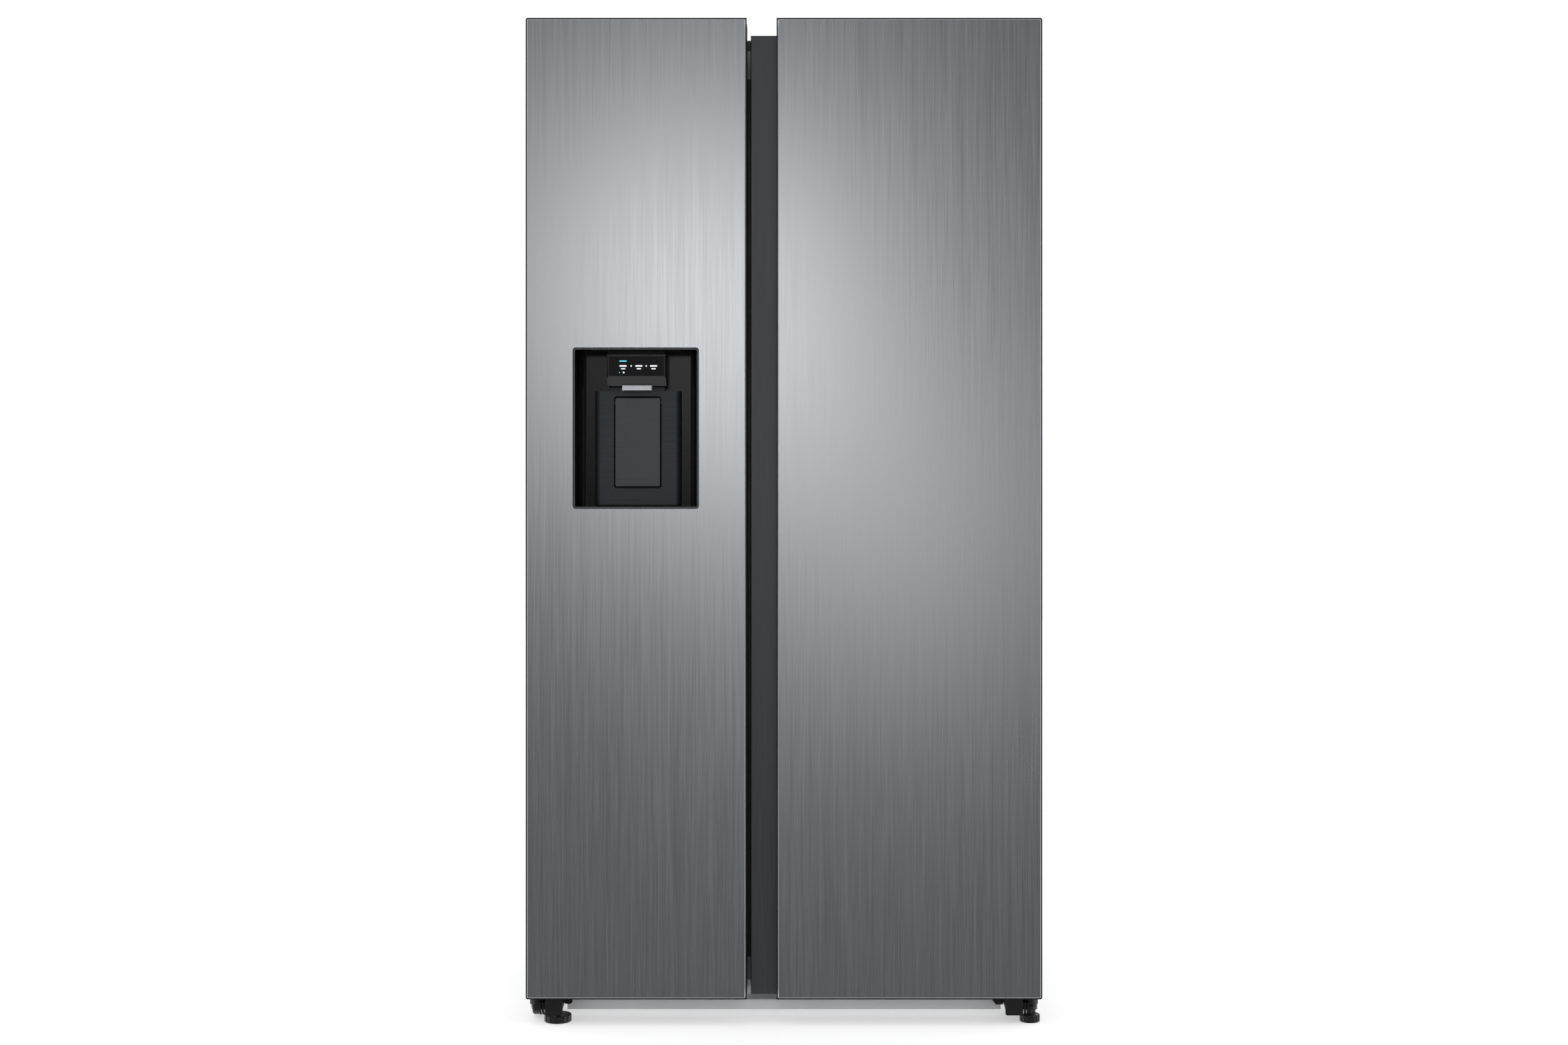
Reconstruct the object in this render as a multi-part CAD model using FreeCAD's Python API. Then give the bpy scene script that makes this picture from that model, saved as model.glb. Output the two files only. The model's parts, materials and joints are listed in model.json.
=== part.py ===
"""Side by side refrigerator with an ice and water dispenser, as separate sub-parts.

Millimetres. +Z is up, the doors face -Y, and +X is to the right for someone facing the doors.
The origin is on the floor, at the centre of the object's footprint.
"""
import FreeCAD, Part
import math
import os

# ---------------------------------------------------------------- driving dimensions
WIDTH = 912.0               # over the doors
HEIGHT = 1780.0             # floor to the doors' top edge
DEPTH = 716.0               # door fronts to the rear cover
HALF_WIDTH = WIDTH / 2
FRONT_Y = -DEPTH / 2
REAR_Y = DEPTH / 2
CLEARANCE = 0.3             # gap between parts that move past each other

# doors
DOOR_BOTTOM = 47.0
DOOR_TOP = HEIGHT
DOOR_THICKNESS = 83.0
DOOR_BACK = FRONT_Y + DOOR_THICKNESS
LEFT_DOOR_RIGHT = -66.0     # inner edge of the left door
RIGHT_PANEL_LEFT = -13.0    # inner edge of the right door's front panel
STRIP_LEFT = -59.0          # inner edge of the right door, where its handle strip ends
STRIP_BOTTOM = 49.0
STRIP_TOP = 1755.0
STRIP_SETBACK = 28.0        # strip's face behind the panels' face
DOOR_SKIN = 2.5             # wall of the dark door frame
DOOR_CORNER = 4.0           # corner radius of the doors seen from the front
PANEL_INSET = 2.2           # dark edge that shows round each steel panel
PANEL_THICKNESS = 3.0
PANEL_PROUD = 1.5           # panel's face ahead of the frame's front edge
PANEL_BEVEL = 1.4
GRIP_DEPTH = 24.0           # how far the finger grooves reach behind the panels
GRIP_LIP = 7.0              # door material left ahead of a finger groove

# case
CASE_GAP = 12.0             # door back to case front, filled by the gasket
CASE_FRONT = DOOR_BACK + CASE_GAP
CASE_BACK = REAR_Y - 11.0
CASE_HALF = 454.0
CASE_BOTTOM = 46.0
CASE_TOP = 1743.0
SHEET = 1.2                 # painted steel sheet
LINER = 2.0                 # plastic liner wall
FREEZER_X = (-394.0, -97.0)
FRIDGE_X = (-27.0, 404.0)
ROOM_TOP = 1690.0
ROOM_FLOOR = 104.0
ROOM_BACK = 285.0
STEP_Y = 80.0               # liner's step over the machine compartment
STEP_Z = 304.0
MACHINE_FRONT = 132.0       # machine compartment at the case's lower rear
MACHINE_TOP = 252.0

# hinges
HINGE_X = 438.0
HINGE_Y = FRONT_Y + 38.0
PIN_RADIUS = 5.0
PIN_FIT = 0.05              # radial clearance of the pins in the doors

# doors' inner sides
GASKET_EDGE = 435.0         # outer edge of the hinge side of both gaskets
GASKET_WIDTH = 16.0
DYKE_DEPTH = 34.0           # how far the door liners' rims reach into the rooms
BIN_DEPTH = 112.0           # how far the fridge door's bins reach behind the door
FREEZER_BIN_DEPTH = 100.0
BIN_WALL = 2.5

# rooms
SHELF_FRONT = -146.0
SHELF_BACK = 270.0
AIR_PANEL_Y = 226.0         # freezer air panel, ahead of the evaporator
SHELF_THICKNESS = 4.0
FRIDGE_SHELF_Z = (508.0, 752.0, 996.0, 1240.0, 1464.0)
FREEZER_SHELF_Z = (508.0, 728.0, 948.0, 1168.0, 1388.0)
DRAWER_FRONT = -104.0
DRAWER_WALL = 2.5

# dispenser, in the left door
DISPENSER_X = (-373.0, -150.0)
DISPENSER_Z = (913.0, 1198.0)
DISPENSER_MID = sum(DISPENSER_X) / 2
BEZEL_RIM = 4.0
RECESS_DEPTH = 74.0
RECESS_WALL = 2.0

# undercarriage
FOOT_RADIUS_LEFT = 24.0
FOOT_RADIUS_RIGHT = 18.0
FOOT_HEIGHT = 13.0
ROLLER_RADIUS = 17.0
REAR_ROLLER_Y = 300.0
FRONT_ROLLER_Y = -284.0
FRONT_ROLLER_LIFT = 3.5     # front rollers clear the floor once the feet are down
AXLE_RADIUS = 4.0

# case details
ROOM_CORNER = 14.0
SHELL_EDGE = 4.0
LEDGE_REACH = 7.0
LEDGE_HEIGHT = 6.0
POST_FOLD = 10.0
BASE_SHEET = 1.5
BACK_RIB_X = 250.0
CHEEK = 3.0
RAIL_SHEET = 2.0
RAIL_NOSE = 22.0
RAIL_BOTTOM = 12.0
RAIL_HALF = 390.0
COVER_HALF = 453.0
COVER_BACK = -120.0
COVER_TOP = 1763.0
COVER_WALL = 2.5

# hinge details
NOTCH_FLOOR = 1750.0        # floor of the notch in each door's top, where the hinge arm enters
NOTCH_INNER = 400.0
NOTCH_LIP = 8.0
ARM_BOTTOM = NOTCH_FLOOR + 1.0
ARM_TOP = ARM_BOTTOM + 5.0
ARM_HALF = 12.0
HINGE_BASE_FRONT = CASE_FRONT + 8.0
PIN_REACH = 28.0            # how far each pin goes into its door
COLLAR_RADIUS = 15.0

# drawers
UPPER_DRAWER_BOTTOM = 316.0
UPPER_DRAWER_TOP = 494.0
LOWER_DRAWER_BOTTOM = 118.0
LOWER_DRAWER_TOP = 290.0
DRAWER_BACK = 214.0
LOWER_DRAWER_BACK = 70.0
DRAWER_LIP = 4.0

# rollers
ROLLER_WIDTH = 24.0
ROLLER_GAP = 1.0
REAR_ROLLER_X = 405.0

# door details
STRIP_PLATE = 2.0
BEZEL_CORNER = 5.5
CAM_HEIGHT = 5.0            # cam disc under each door
CAM_RADIUS = 11.5
BUSH_RADIUS = 9.0
DYKE_WIDTH = 24.0
FREEZER_DYKE_X = (-386.0, -110.0)
FRIDGE_DYKE_X = (-16.0, 396.0)
DYKE_Z = (116.0, 1678.0)
GASKET_FREE_LEFT = -72.0    # free side of the left door's gasket
GASKET_FREE_RIGHT = -53.0   # free side of the right door's gasket
GASKET_Z = (68.0, 1722.0)
FREEZER_BIN_HEIGHT = 118.0
FREEZER_BIN_Z = (146.0, 398.0, 650.0)
FRIDGE_BIN_HEIGHT = 120.0
FRIDGE_BIN_Z = (146.0, 452.0, 758.0, 1064.0, 1370.0)

# dispenser details
BEZEL_DEPTH = 6.0
RECESS_FLOOR_Y = FRONT_Y + RECESS_DEPTH - RECESS_WALL
RAISED_FACE_Y = FRONT_Y + 50.0
RAISED_HALF = 77.0
RAISED_BOTTOM = 919.0
RAISED_TOP = 1124.0
PADDLE_HALF = 40.5
PADDLE_Z = (953.0, 1112.0)
PADDLE_FACE_Y = FRONT_Y + 45.0
PADDLE_AXLE = 2.5
PADDLE_AXLE_Y = FRONT_Y + 53.5
PADDLE_AXLE_Z = 1104.0
PADDLE_PIN_HALF = 46.0
POCKET_HALF = 42.5
POCKET_GAP = 3.0
HEAD_TOP = 1193.5
HEAD_BOTTOM = 1132.0
HEAD_HALF = 52.0
CHUTE_TOP_Y = -240.0
CHUTE_TOP_Z = 1238.0
CHUTE_FOOT_Y = -312.0
CHUTE_FOOT_Z = 1124.0
CHUTE_HALF_DEPTH = 23.0
CHUTE_WIDTH = 52.0
CHUTE_WALL = 2.0
FLAP_AXLE = 2.0
FLAP_Y = -271.0
FLAP_Z = 1160.0
FLAP_LENGTH = 34.0

# ice parts on the freezer door
ICE_X = (-361.0, -150.0)
ICE_BACK = -162.0
ICE_TOP = 1480.0
AUGER_Y = -209.0
AUGER_Z = 1290.0
AUGER_SHAFT = 5.0
AUGER_REACH = 38.0
AUGER_FINGERS = 6
ICE_CELLS = 6

# cold side
PANEL_WALL = 3.0
COIL_TUBE = 4.0
FAN_PIN = 3.0
COLD_FAN_RADIUS = 45.0
COLD_FAN_Z = 1080.0
DUCT_X = (128.0, 248.0)
DUCT_FRONT = 256.0

# warm side
COMPRESSOR_AT = (-250.0, 238.0)
CONDENSER_X = (40.0, 330.0)
SHROUD_X = -20.0
WARM_FAN_AT = (238.0, 152.0)
WARM_FAN_RADIUS = 74.0
COVER_SHEET = 2.0
SPACER_X = 410.0
GLAND_AT = (400.0, 150.0)   # x and z of the mains lead's gland
GLAND_OUTER = 9.0
GLAND_BORE = 5.0
VALVE_AT = (-400.0, 150.0)  # x and z of the water valve's stub
VALVE_NECK = 13.2
VALVE_WINDOW = 30.0         # half size of the cover's window round the valve

# undercarriage details
BRACKET_X = (392.0, 423.0)  # front plate of the right bracket
BRACKET_BOTTOM = 16.0
BRACKET_BOLTS = ((6.0, 20.0), (24.0, 20.0), (6.0, 48.0), (24.0, 48.0))
HINGE_ARM_TOP = 37.0
COLLAR_FLOOR = 4.0
RIM_TOP = 44.5
NUT_BOTTOM = 22.5
NUT_TOP = 29.5
STUD_RADIUS = 4.5
STUD_BOSS = 13.5
FOOT_LEFT_X = -403.0
NOTCH_SHARE = 0.09          # groove radius as a share of the foot's radius
FRONT_ROLLER_X = 440.0
FRONT_ROLLER_RADIUS = 15.5
FRONT_AXLE_Z = FRONT_ROLLER_LIFT + FRONT_ROLLER_RADIUS

# smaller features
BOLT_HEAD = 4.5             # radius of the hinge bolts' heads
BOLT_RISE = 3.0
HINGE_BOLTS = ((-20, 16), (2, 16), (-20, 52), (2, 52))
HINGE_FOOT_IN = 30.0        # top hinge's plate, inwards and outwards of its pin
HINGE_FOOT_OUT = 12.0
HINGE_FOOT_LENGTH = 70.0
HINGE_ARM = 5.0             # thickness of the lower hinges' arms
RIB_TOP = 38.0
BIN_CORNER = 12.0
DYKE_EDGE = 5.0             # rounding of the door liners' rims
DYKE_FOAM_GAP = 4.0
FLAP_THICKNESS = 3.0
PADDLE_PLATE = 4.0
HEAD_LIP = 13.0             # control head's top lip, face and chin, behind the door's front
HEAD_FACE = 9.0
HEAD_CHIN = 29.0
HEAD_BROW = 11.0            # height of the part above the sloping face
HEAD_SLOPE = 34.0           # height of the sloping face
HEAD_LEAN = 6.0             # how far the face leans back over its height
DISPLAY_INSET = 5.5
DISPLAY_GLASS = 1.2
LAMP_Y = (-70.0, -10.0)
LAMP_DROP = 9.0
RAIL_TOP = 62.0
AIR_SLOT_Z = (640, 860, 1300, 1520)
DUCT_OUTLET_Z = (600, 840, 1080, 1320, 1560)
COLD_COIL_Z = (400, 740)
CONDENSER_Y = (160.0, 318.0)
CONDENSER_TOP = 240.0
TRAY_HEIGHT = 30.0
CAN_RADIUS = 76.0           # compressor's can
CAN_HEIGHT = 150.0
CAN_CROWN = 30.0
PIPE_RADIUS = 4.0
SLOT_ROWS = 9               # machine cover's slots
SLOT_FIRST_Z = 84.0
SLOT_PITCH = 16.0
SLOT_X = (-330, -200, -70, 60, 190)
SLOT_LENGTH = 110.0
SLOT_HEIGHT = 7.0

os.makedirs("parts", exist_ok=True)


# ---------------------------------------------------------------- helpers
def vec(x, y, z):
    return FreeCAD.Vector(x, y, z)


def box(x0, x1, y0, y1, z0, z1):
    """Block between two opposite corners."""
    return Part.makeBox(x1 - x0, y1 - y0, z1 - z0, vec(x0, y0, z0))


def rod(radius, start, along, length):
    """Cylinder from start, along a direction."""
    return Part.makeCylinder(radius, length, vec(*start), vec(*along))


def tube(outer, inner, start, along, length):
    """Cylinder with a bore."""
    return rod(outer, start, along, length).cut(rod(inner, start, along, length))


def slab(points, axis, start, length):
    """Closed outline in the plane across an axis, carried along that axis from start."""
    place = {
        "x": lambda a, b: vec(start, a, b),
        "y": lambda a, b: vec(a, start, b),
        "z": lambda a, b: vec(a, b, start),
    }[axis]
    corners = [place(a, b) for a, b in points]
    corners.append(corners[0])
    travel = {"x": vec(length, 0, 0), "y": vec(0, length, 0), "z": vec(0, 0, length)}[axis]
    return Part.Face(Part.makePolygon(corners)).extrude(travel)


def joined(shapes):
    """One solid from several that touch or overlap."""
    first = shapes[0]
    if len(shapes) == 1:
        return first
    return first.fuse(shapes[1:]).removeSplitter()


def group(shapes):
    """Separate solids in one sub-part."""
    return Part.makeCompound(shapes)


def edges_along(shape, axis, keep=None):
    """Straight edges that run along one axis, and whose middle satisfies keep."""
    index = "xyz".index(axis)
    found = []
    for edge in shape.Edges:
        ends = [v.Point for v in edge.Vertexes]
        if len(ends) != 2:
            continue
        span = [abs(ends[0][i] - ends[1][i]) for i in range(3)]
        length = span[index]
        if length < 0.5 or max(s for i, s in enumerate(span) if i != index) > 1e-4:
            continue
        middle = (ends[0] + ends[1]) * 0.5
        if keep is None or keep(middle):
            found.append(edge)
    return found


def soft_box(x0, x1, y0, y1, z0, z1, radius, axis):
    """Block with its four edges along one axis rounded."""
    block = box(x0, x1, y0, y1, z0, z1)
    return block.makeFillet(radius, edges_along(block, axis))


def mirrored(shape):
    """The same shape on the other side of the object's middle plane."""
    return shape.mirror(vec(0, 0, 0), vec(1, 0, 0))


def save(name, shape):
    """Write one sub-part, after a test that each of its solids is sound."""
    for solid in shape.Solids:
        if not solid.isValid() or solid.Volume <= 0:
            raise ValueError("unsound solid in " + name)
    if not shape.Solids:
        raise ValueError("no solid in " + name)
    shape.exportStep(os.path.join("parts", name + ".step"))


# ---------------------------------------------------------------- case
def room(x_range):
    """Air space of one compartment, with its step over the machine compartment."""
    side_view = [
        (CASE_FRONT - 1, ROOM_FLOOR),
        (STEP_Y, ROOM_FLOOR),
        (STEP_Y, STEP_Z),
        (ROOM_BACK, STEP_Z),
        (ROOM_BACK, ROOM_TOP),
        (CASE_FRONT - 1, ROOM_TOP),
    ]
    space = slab(side_view, "x", x_range[0], x_range[1] - x_range[0])
    upright = edges_along(space, "z", lambda p: p.y > ROOM_BACK - 1)
    across = edges_along(space, "x", lambda p: p.y > ROOM_BACK - 1)
    return space.makeFillet(ROOM_CORNER, upright + across)


def liner_block(x_range):
    """Outside of a liner, as a solid block."""
    side_view = [
        (CASE_FRONT + SHEET, ROOM_FLOOR - LINER),
        (STEP_Y + LINER, ROOM_FLOOR - LINER),
        (STEP_Y + LINER, STEP_Z - LINER),
        (ROOM_BACK + LINER, STEP_Z - LINER),
        (ROOM_BACK + LINER, ROOM_TOP + LINER),
        (CASE_FRONT + SHEET, ROOM_TOP + LINER),
    ]
    return slab(side_view, "x", x_range[0] - LINER, x_range[1] - x_range[0] + 2 * LINER)


def side_ledges(x_range, z_top, y0, y1):
    """Pair of ledges on a room's side walls, with their top face at z_top."""
    left = box(x_range[0], x_range[0] + LEDGE_REACH, y0, y1, z_top - LEDGE_HEIGHT, z_top)
    right = box(x_range[1] - LEDGE_REACH, x_range[1], y0, y1, z_top - LEDGE_HEIGHT, z_top)
    return [left, right]


def liner(x_range, shelf_z):
    """Moulded liner with a lip on the case's front and ledges for shelves and drawers."""
    walls = liner_block(x_range).cut(room(x_range))
    ledges = []
    for z in shelf_z:
        ledges += side_ledges(x_range, z, SHELF_FRONT, SHELF_BACK - 60)
    for z_top, back in ((UPPER_DRAWER_TOP, DRAWER_BACK), (LOWER_DRAWER_TOP, LOWER_DRAWER_BACK)):
        ledges += side_ledges(x_range, z_top - DRAWER_LIP - 0.5, DRAWER_FRONT, back)
    return joined([walls] + ledges)


def cabinet_shell():
    """Painted wrapper: top, sides and the flange round the front."""
    outer = box(-CASE_HALF, CASE_HALF, CASE_FRONT, CASE_BACK, CASE_BOTTOM, CASE_TOP)
    outer = outer.makeFillet(SHELL_EDGE, edges_along(outer, "y", lambda p: p.z > CASE_TOP - 1))
    inner = box(-CASE_HALF + SHEET, CASE_HALF - SHEET, CASE_FRONT + SHEET, CASE_BACK + 1,
                CASE_BOTTOM - 1, CASE_TOP - SHEET)
    inner = inner.makeFillet(SHELL_EDGE - SHEET, edges_along(inner, "y", lambda p: p.z > CASE_TOP - 2))
    front_hole = box(FREEZER_X[0] - LINER, FRIDGE_X[1] + LINER, CASE_FRONT - 1, CASE_FRONT + SHEET + 1,
                     ROOM_FLOOR - LINER, ROOM_TOP + LINER)
    return outer.cut(inner).cut(front_hole)


def back_panel():
    """Rear sheet above the machine compartment, with two pressed ribs."""
    z0 = MACHINE_TOP + SHEET
    plate = box(-CASE_HALF + SHEET, CASE_HALF - SHEET, CASE_BACK - SHEET, CASE_BACK, z0, CASE_TOP - SHEET)
    ribs = []
    for x in (-BACK_RIB_X, BACK_RIB_X):
        rib = box(x - 18, x + 18, CASE_BACK, CASE_BACK + 4, z0 + 90, CASE_TOP - 110)
        ribs.append(rib.makeFillet(3, edges_along(rib, "z", lambda p: p.y > CASE_BACK + 1)))
    trimmed = plate.common(shell_space())
    return joined([trimmed] + ribs)


def shell_space():
    """Space inside the wrapper."""
    space = box(-CASE_HALF + SHEET, CASE_HALF - SHEET, CASE_FRONT + SHEET, CASE_BACK,
                CASE_BOTTOM, CASE_TOP - SHEET)
    return space.makeFillet(SHELL_EDGE - SHEET, edges_along(space, "y", lambda p: p.z > CASE_TOP - 2))


def machine_space():
    """Block that the machine compartment takes out of the foam, with its sheet walls."""
    return box(-CASE_HALF, CASE_HALF, MACHINE_FRONT, CASE_BACK + 1, CASE_BOTTOM - 1, MACHINE_TOP + SHEET)


def centre_post():
    """Dark strip between the two rooms, with its edges folded back into the foam."""
    x0 = FREEZER_X[1] + LINER
    x1 = FRIDGE_X[0] - LINER
    z0 = ROOM_FLOOR - LINER
    z1 = ROOM_TOP + LINER
    face = box(x0, x1, CASE_FRONT, CASE_FRONT + SHEET, z0, z1)
    folds = [
        box(x0, x0 + SHEET, CASE_FRONT, CASE_FRONT + POST_FOLD, z0, z1),
        box(x1 - SHEET, x1, CASE_FRONT, CASE_FRONT + POST_FOLD, z0, z1),
    ]
    return joined([face] + folds)


def cabinet_foam():
    """Foam between the wrapper, the back sheet, the base and the two liners."""
    fill = shell_space().common(box(-CASE_HALF, CASE_HALF, CASE_FRONT + SHEET, CASE_BACK - SHEET,
                                    CASE_BOTTOM + BASE_SHEET, CASE_TOP))
    for hollow in (liner_block(FREEZER_X), liner_block(FRIDGE_X), machine_space(), centre_post()):
        fill = fill.cut(hollow)
    return fill


def base_frame():
    """Base pan: floor, machine compartment's front wall and roof, and rear roller cheeks."""
    half = CASE_HALF - SHEET
    top = CASE_BOTTOM + BASE_SHEET
    parts = [
        box(-half, half, CASE_FRONT + SHEET, CASE_BACK, CASE_BOTTOM, top),
        box(-half, half, MACHINE_FRONT, MACHINE_FRONT + SHEET, top, MACHINE_TOP),
        box(-half, half, MACHINE_FRONT, CASE_BACK, MACHINE_TOP, MACHINE_TOP + SHEET),
    ]
    for middle in (-REAR_ROLLER_X, REAR_ROLLER_X):
        for side in (-1, 1):
            x = middle + side * (ROLLER_WIDTH / 2 + ROLLER_GAP + CHEEK / 2)
            cheek = slab([(REAR_ROLLER_Y - 24, CASE_BOTTOM), (REAR_ROLLER_Y + 24, CASE_BOTTOM),
                          (REAR_ROLLER_Y + 9, 9), (REAR_ROLLER_Y - 9, 9)], "x", x - CHEEK / 2, CHEEK)
            parts.append(cheek)
    pan = joined(parts)
    for middle in (-REAR_ROLLER_X, REAR_ROLLER_X):
        pan = pan.cut(rod(AXLE_RADIUS, (middle - 40, REAR_ROLLER_Y, ROLLER_RADIUS), (1, 0, 0), 80))
    return pan


def base_rail():
    """Silver rail under the doors: an upright face over a nose that stands further out."""
    t = RAIL_SHEET
    y = CASE_FRONT
    outline = [
        (y, RAIL_TOP), (y - 4, RAIL_TOP), (y - 4, 36), (y - RAIL_NOSE, 30), (y - RAIL_NOSE, RAIL_BOTTOM),
        (y - RAIL_NOSE + 10, RAIL_BOTTOM), (y - RAIL_NOSE + 10, RAIL_BOTTOM + t),
        (y - RAIL_NOSE + t, RAIL_BOTTOM + t), (y - RAIL_NOSE + t, 29), (y, 35),
    ]
    rail = slab(outline, "x", -RAIL_HALF, 2 * RAIL_HALF)
    lower = edges_along(rail, "x", lambda p: p.y < y - RAIL_NOSE + 0.1 and p.z < RAIL_BOTTOM + 1)
    upper = edges_along(rail, "x", lambda p: p.y < y - RAIL_NOSE + 0.1 and p.z > 25)
    return rail.makeFillet(1.8, lower + upper)


def top_cover():
    """Dark cover over the hinges and wiring, along the front of the case's top."""
    outer = box(-COVER_HALF, COVER_HALF, CASE_FRONT + 1, COVER_BACK, CASE_TOP, COVER_TOP)
    front_top = edges_along(outer, "x", lambda p: p.z > COVER_TOP - 1)
    ends = edges_along(outer, "y", lambda p: p.z > COVER_TOP - 1)
    outer = outer.makeFillet(2.5, front_top + ends)
    inner = box(-COVER_HALF + COVER_WALL, COVER_HALF - COVER_WALL, CASE_FRONT + 1 + COVER_WALL,
                COVER_BACK - COVER_WALL, CASE_TOP - 1, COVER_TOP - COVER_WALL)
    cover = outer.cut(inner)
    for side in (-1, 1):
        middle = side * HINGE_X
        cover = cover.cut(box(middle - ARM_HALF - 1.5, middle + ARM_HALF + 1.5, CASE_FRONT, CASE_FRONT + 8,
                              CASE_TOP - 1, ARM_TOP + 1.5))
    return cover


def top_hinges():
    """Hinge plates on the case's top, each with an arm and a pin that points down into its door."""
    foot = box(HINGE_X - HINGE_FOOT_IN, HINGE_X + HINGE_FOOT_OUT, HINGE_BASE_FRONT,
               HINGE_BASE_FRONT + HINGE_FOOT_LENGTH, CASE_TOP, ARM_TOP)
    arm = box(HINGE_X - ARM_HALF, HINGE_X + ARM_HALF, HINGE_Y, HINGE_BASE_FRONT + 1, ARM_BOTTOM, ARM_TOP)
    eye = rod(ARM_HALF, (HINGE_X, HINGE_Y, ARM_BOTTOM), (0, 0, 1), ARM_TOP - ARM_BOTTOM)
    pin_foot = NOTCH_FLOOR - PIN_REACH
    pin = rod(PIN_RADIUS, (HINGE_X, HINGE_Y, pin_foot), (0, 0, 1), ARM_TOP - pin_foot)
    heads = []
    for dx, dy in HINGE_BOLTS:
        heads.append(rod(BOLT_HEAD, (HINGE_X + dx, HINGE_BASE_FRONT + dy, ARM_TOP), (0, 0, 1), BOLT_RISE))
    right = joined([foot, arm, eye, pin] + heads)
    return group([mirrored(right), right])


# ---------------------------------------------------------------- doors
def left_plan():
    """Plan view of the left door, with the finger groove in its right side."""
    right = LEFT_DOOR_RIGHT
    front = FRONT_Y + PANEL_PROUD
    return [
        (-HALF_WIDTH, front), (right, front), (right, FRONT_Y + GRIP_LIP),
        (right - GRIP_DEPTH, FRONT_Y + GRIP_LIP + 6), (right - GRIP_DEPTH, FRONT_Y + 38),
        (right, FRONT_Y + 46), (right, DOOR_BACK), (-HALF_WIDTH, DOOR_BACK),
    ]


def right_plan():
    """Plan view of the right door: its handle strip stands back beside the front panel."""
    edge = RIGHT_PANEL_LEFT
    front = FRONT_Y + PANEL_PROUD
    floor = FRONT_Y + STRIP_SETBACK + STRIP_PLATE
    return [
        (HALF_WIDTH, front), (edge, front), (edge, FRONT_Y + GRIP_LIP),
        (edge + GRIP_DEPTH, FRONT_Y + GRIP_LIP + 6), (edge + GRIP_DEPTH, floor),
        (STRIP_LEFT, floor), (STRIP_LEFT, DOOR_BACK), (HALF_WIDTH, DOOR_BACK),
    ]


def plan_face(points, inset):
    """Flat face of a plan view, pulled in by an inset."""
    corners = [vec(x, y, 0) for x, y in points]
    corners.append(corners[0])
    face = Part.Face(Part.makePolygon(corners))
    if inset == 0:
        return face
    return face.makeOffset2D(-inset, 2)


def plan_solid(points, inset, z0, z1):
    """Door outline carried from z0 to z1."""
    face = plan_face(points, inset)
    face.translate(vec(0, 0, z0))
    return face.extrude(vec(0, 0, z1 - z0))


def hinge_notch(side, grow=0.0):
    """Space in the top of a door for the hinge arm, open to the back and the outer side."""
    block = box(NOTCH_INNER - grow, HALF_WIDTH + 1, FRONT_Y + NOTCH_LIP - grow, DOOR_BACK + 1,
                NOTCH_FLOOR - grow, DOOR_TOP + 1)
    return block if side > 0 else mirrored(block)


def strip_trim(grow=0.0):
    """Space above and below the right door's handle strip, which is shorter than its panel."""
    x1 = RIGHT_PANEL_LEFT + grow
    y0 = FRONT_Y + GRIP_LIP
    above = box(STRIP_LEFT - 1, x1, y0, DOOR_BACK + 1, STRIP_TOP - grow, DOOR_TOP + 1)
    below = box(STRIP_LEFT - 1, x1, y0, DOOR_BACK + 1, DOOR_BOTTOM - 1, STRIP_BOTTOM + grow)
    return above.fuse(below)


def door_solid(side, inset):
    """Whole body of a door, pulled in by an inset, with its corners rounded in front view."""
    plan = left_plan() if side < 0 else right_plan()
    body = plan_solid(plan, inset, DOOR_BOTTOM + inset, DOOR_TOP - inset)
    if inset == 0:
        body = body.makeFillet(DOOR_CORNER, edges_along(body, "y", lambda p: abs(p.x) > HALF_WIDTH - 1))
    body = body.cut(hinge_notch(side, inset))
    if side > 0:
        body = body.cut(strip_trim(inset))
    return body


def panel_span(side):
    """Left and right edges of a door's front."""
    if side < 0:
        return -HALF_WIDTH, LEFT_DOOR_RIGHT
    return RIGHT_PANEL_LEFT, HALF_WIDTH


def dispenser_hole(grow, y0, y1):
    """Block of the dispenser's opening in the left door."""
    return soft_box(DISPENSER_X[0] - grow, DISPENSER_X[1] + grow, y0, y1,
                    DISPENSER_Z[0] - grow, DISPENSER_Z[1] + grow, BEZEL_CORNER + grow, "y")


def pin_hole(side, radius):
    """Bores for the hinge pins in a door's top and bottom."""
    x = side * HINGE_X
    top = rod(radius, (x, HINGE_Y, NOTCH_FLOOR - PIN_REACH - 1), (0, 0, 1), PIN_REACH + 2)
    bottom = rod(radius, (x, HINGE_Y, DOOR_BOTTOM - CAM_HEIGHT - 1), (0, 0, 1), PIN_REACH + CAM_HEIGHT + 2)
    return top.fuse(bottom)


def pin_bushes(side):
    """Bushes inside the door round its hinge pins, and the cam disc under the door."""
    x = side * HINGE_X
    top = rod(BUSH_RADIUS, (x, HINGE_Y, NOTCH_FLOOR - PIN_REACH - 2), (0, 0, 1), PIN_REACH + 1)
    bottom = rod(BUSH_RADIUS, (x, HINGE_Y, DOOR_BOTTOM + 1), (0, 0, 1), PIN_REACH + 2)
    cam = rod(CAM_RADIUS, (x, HINGE_Y, DOOR_BOTTOM - CAM_HEIGHT), (0, 0, 1), CAM_HEIGHT + 1)
    return [top, bottom, cam]


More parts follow.
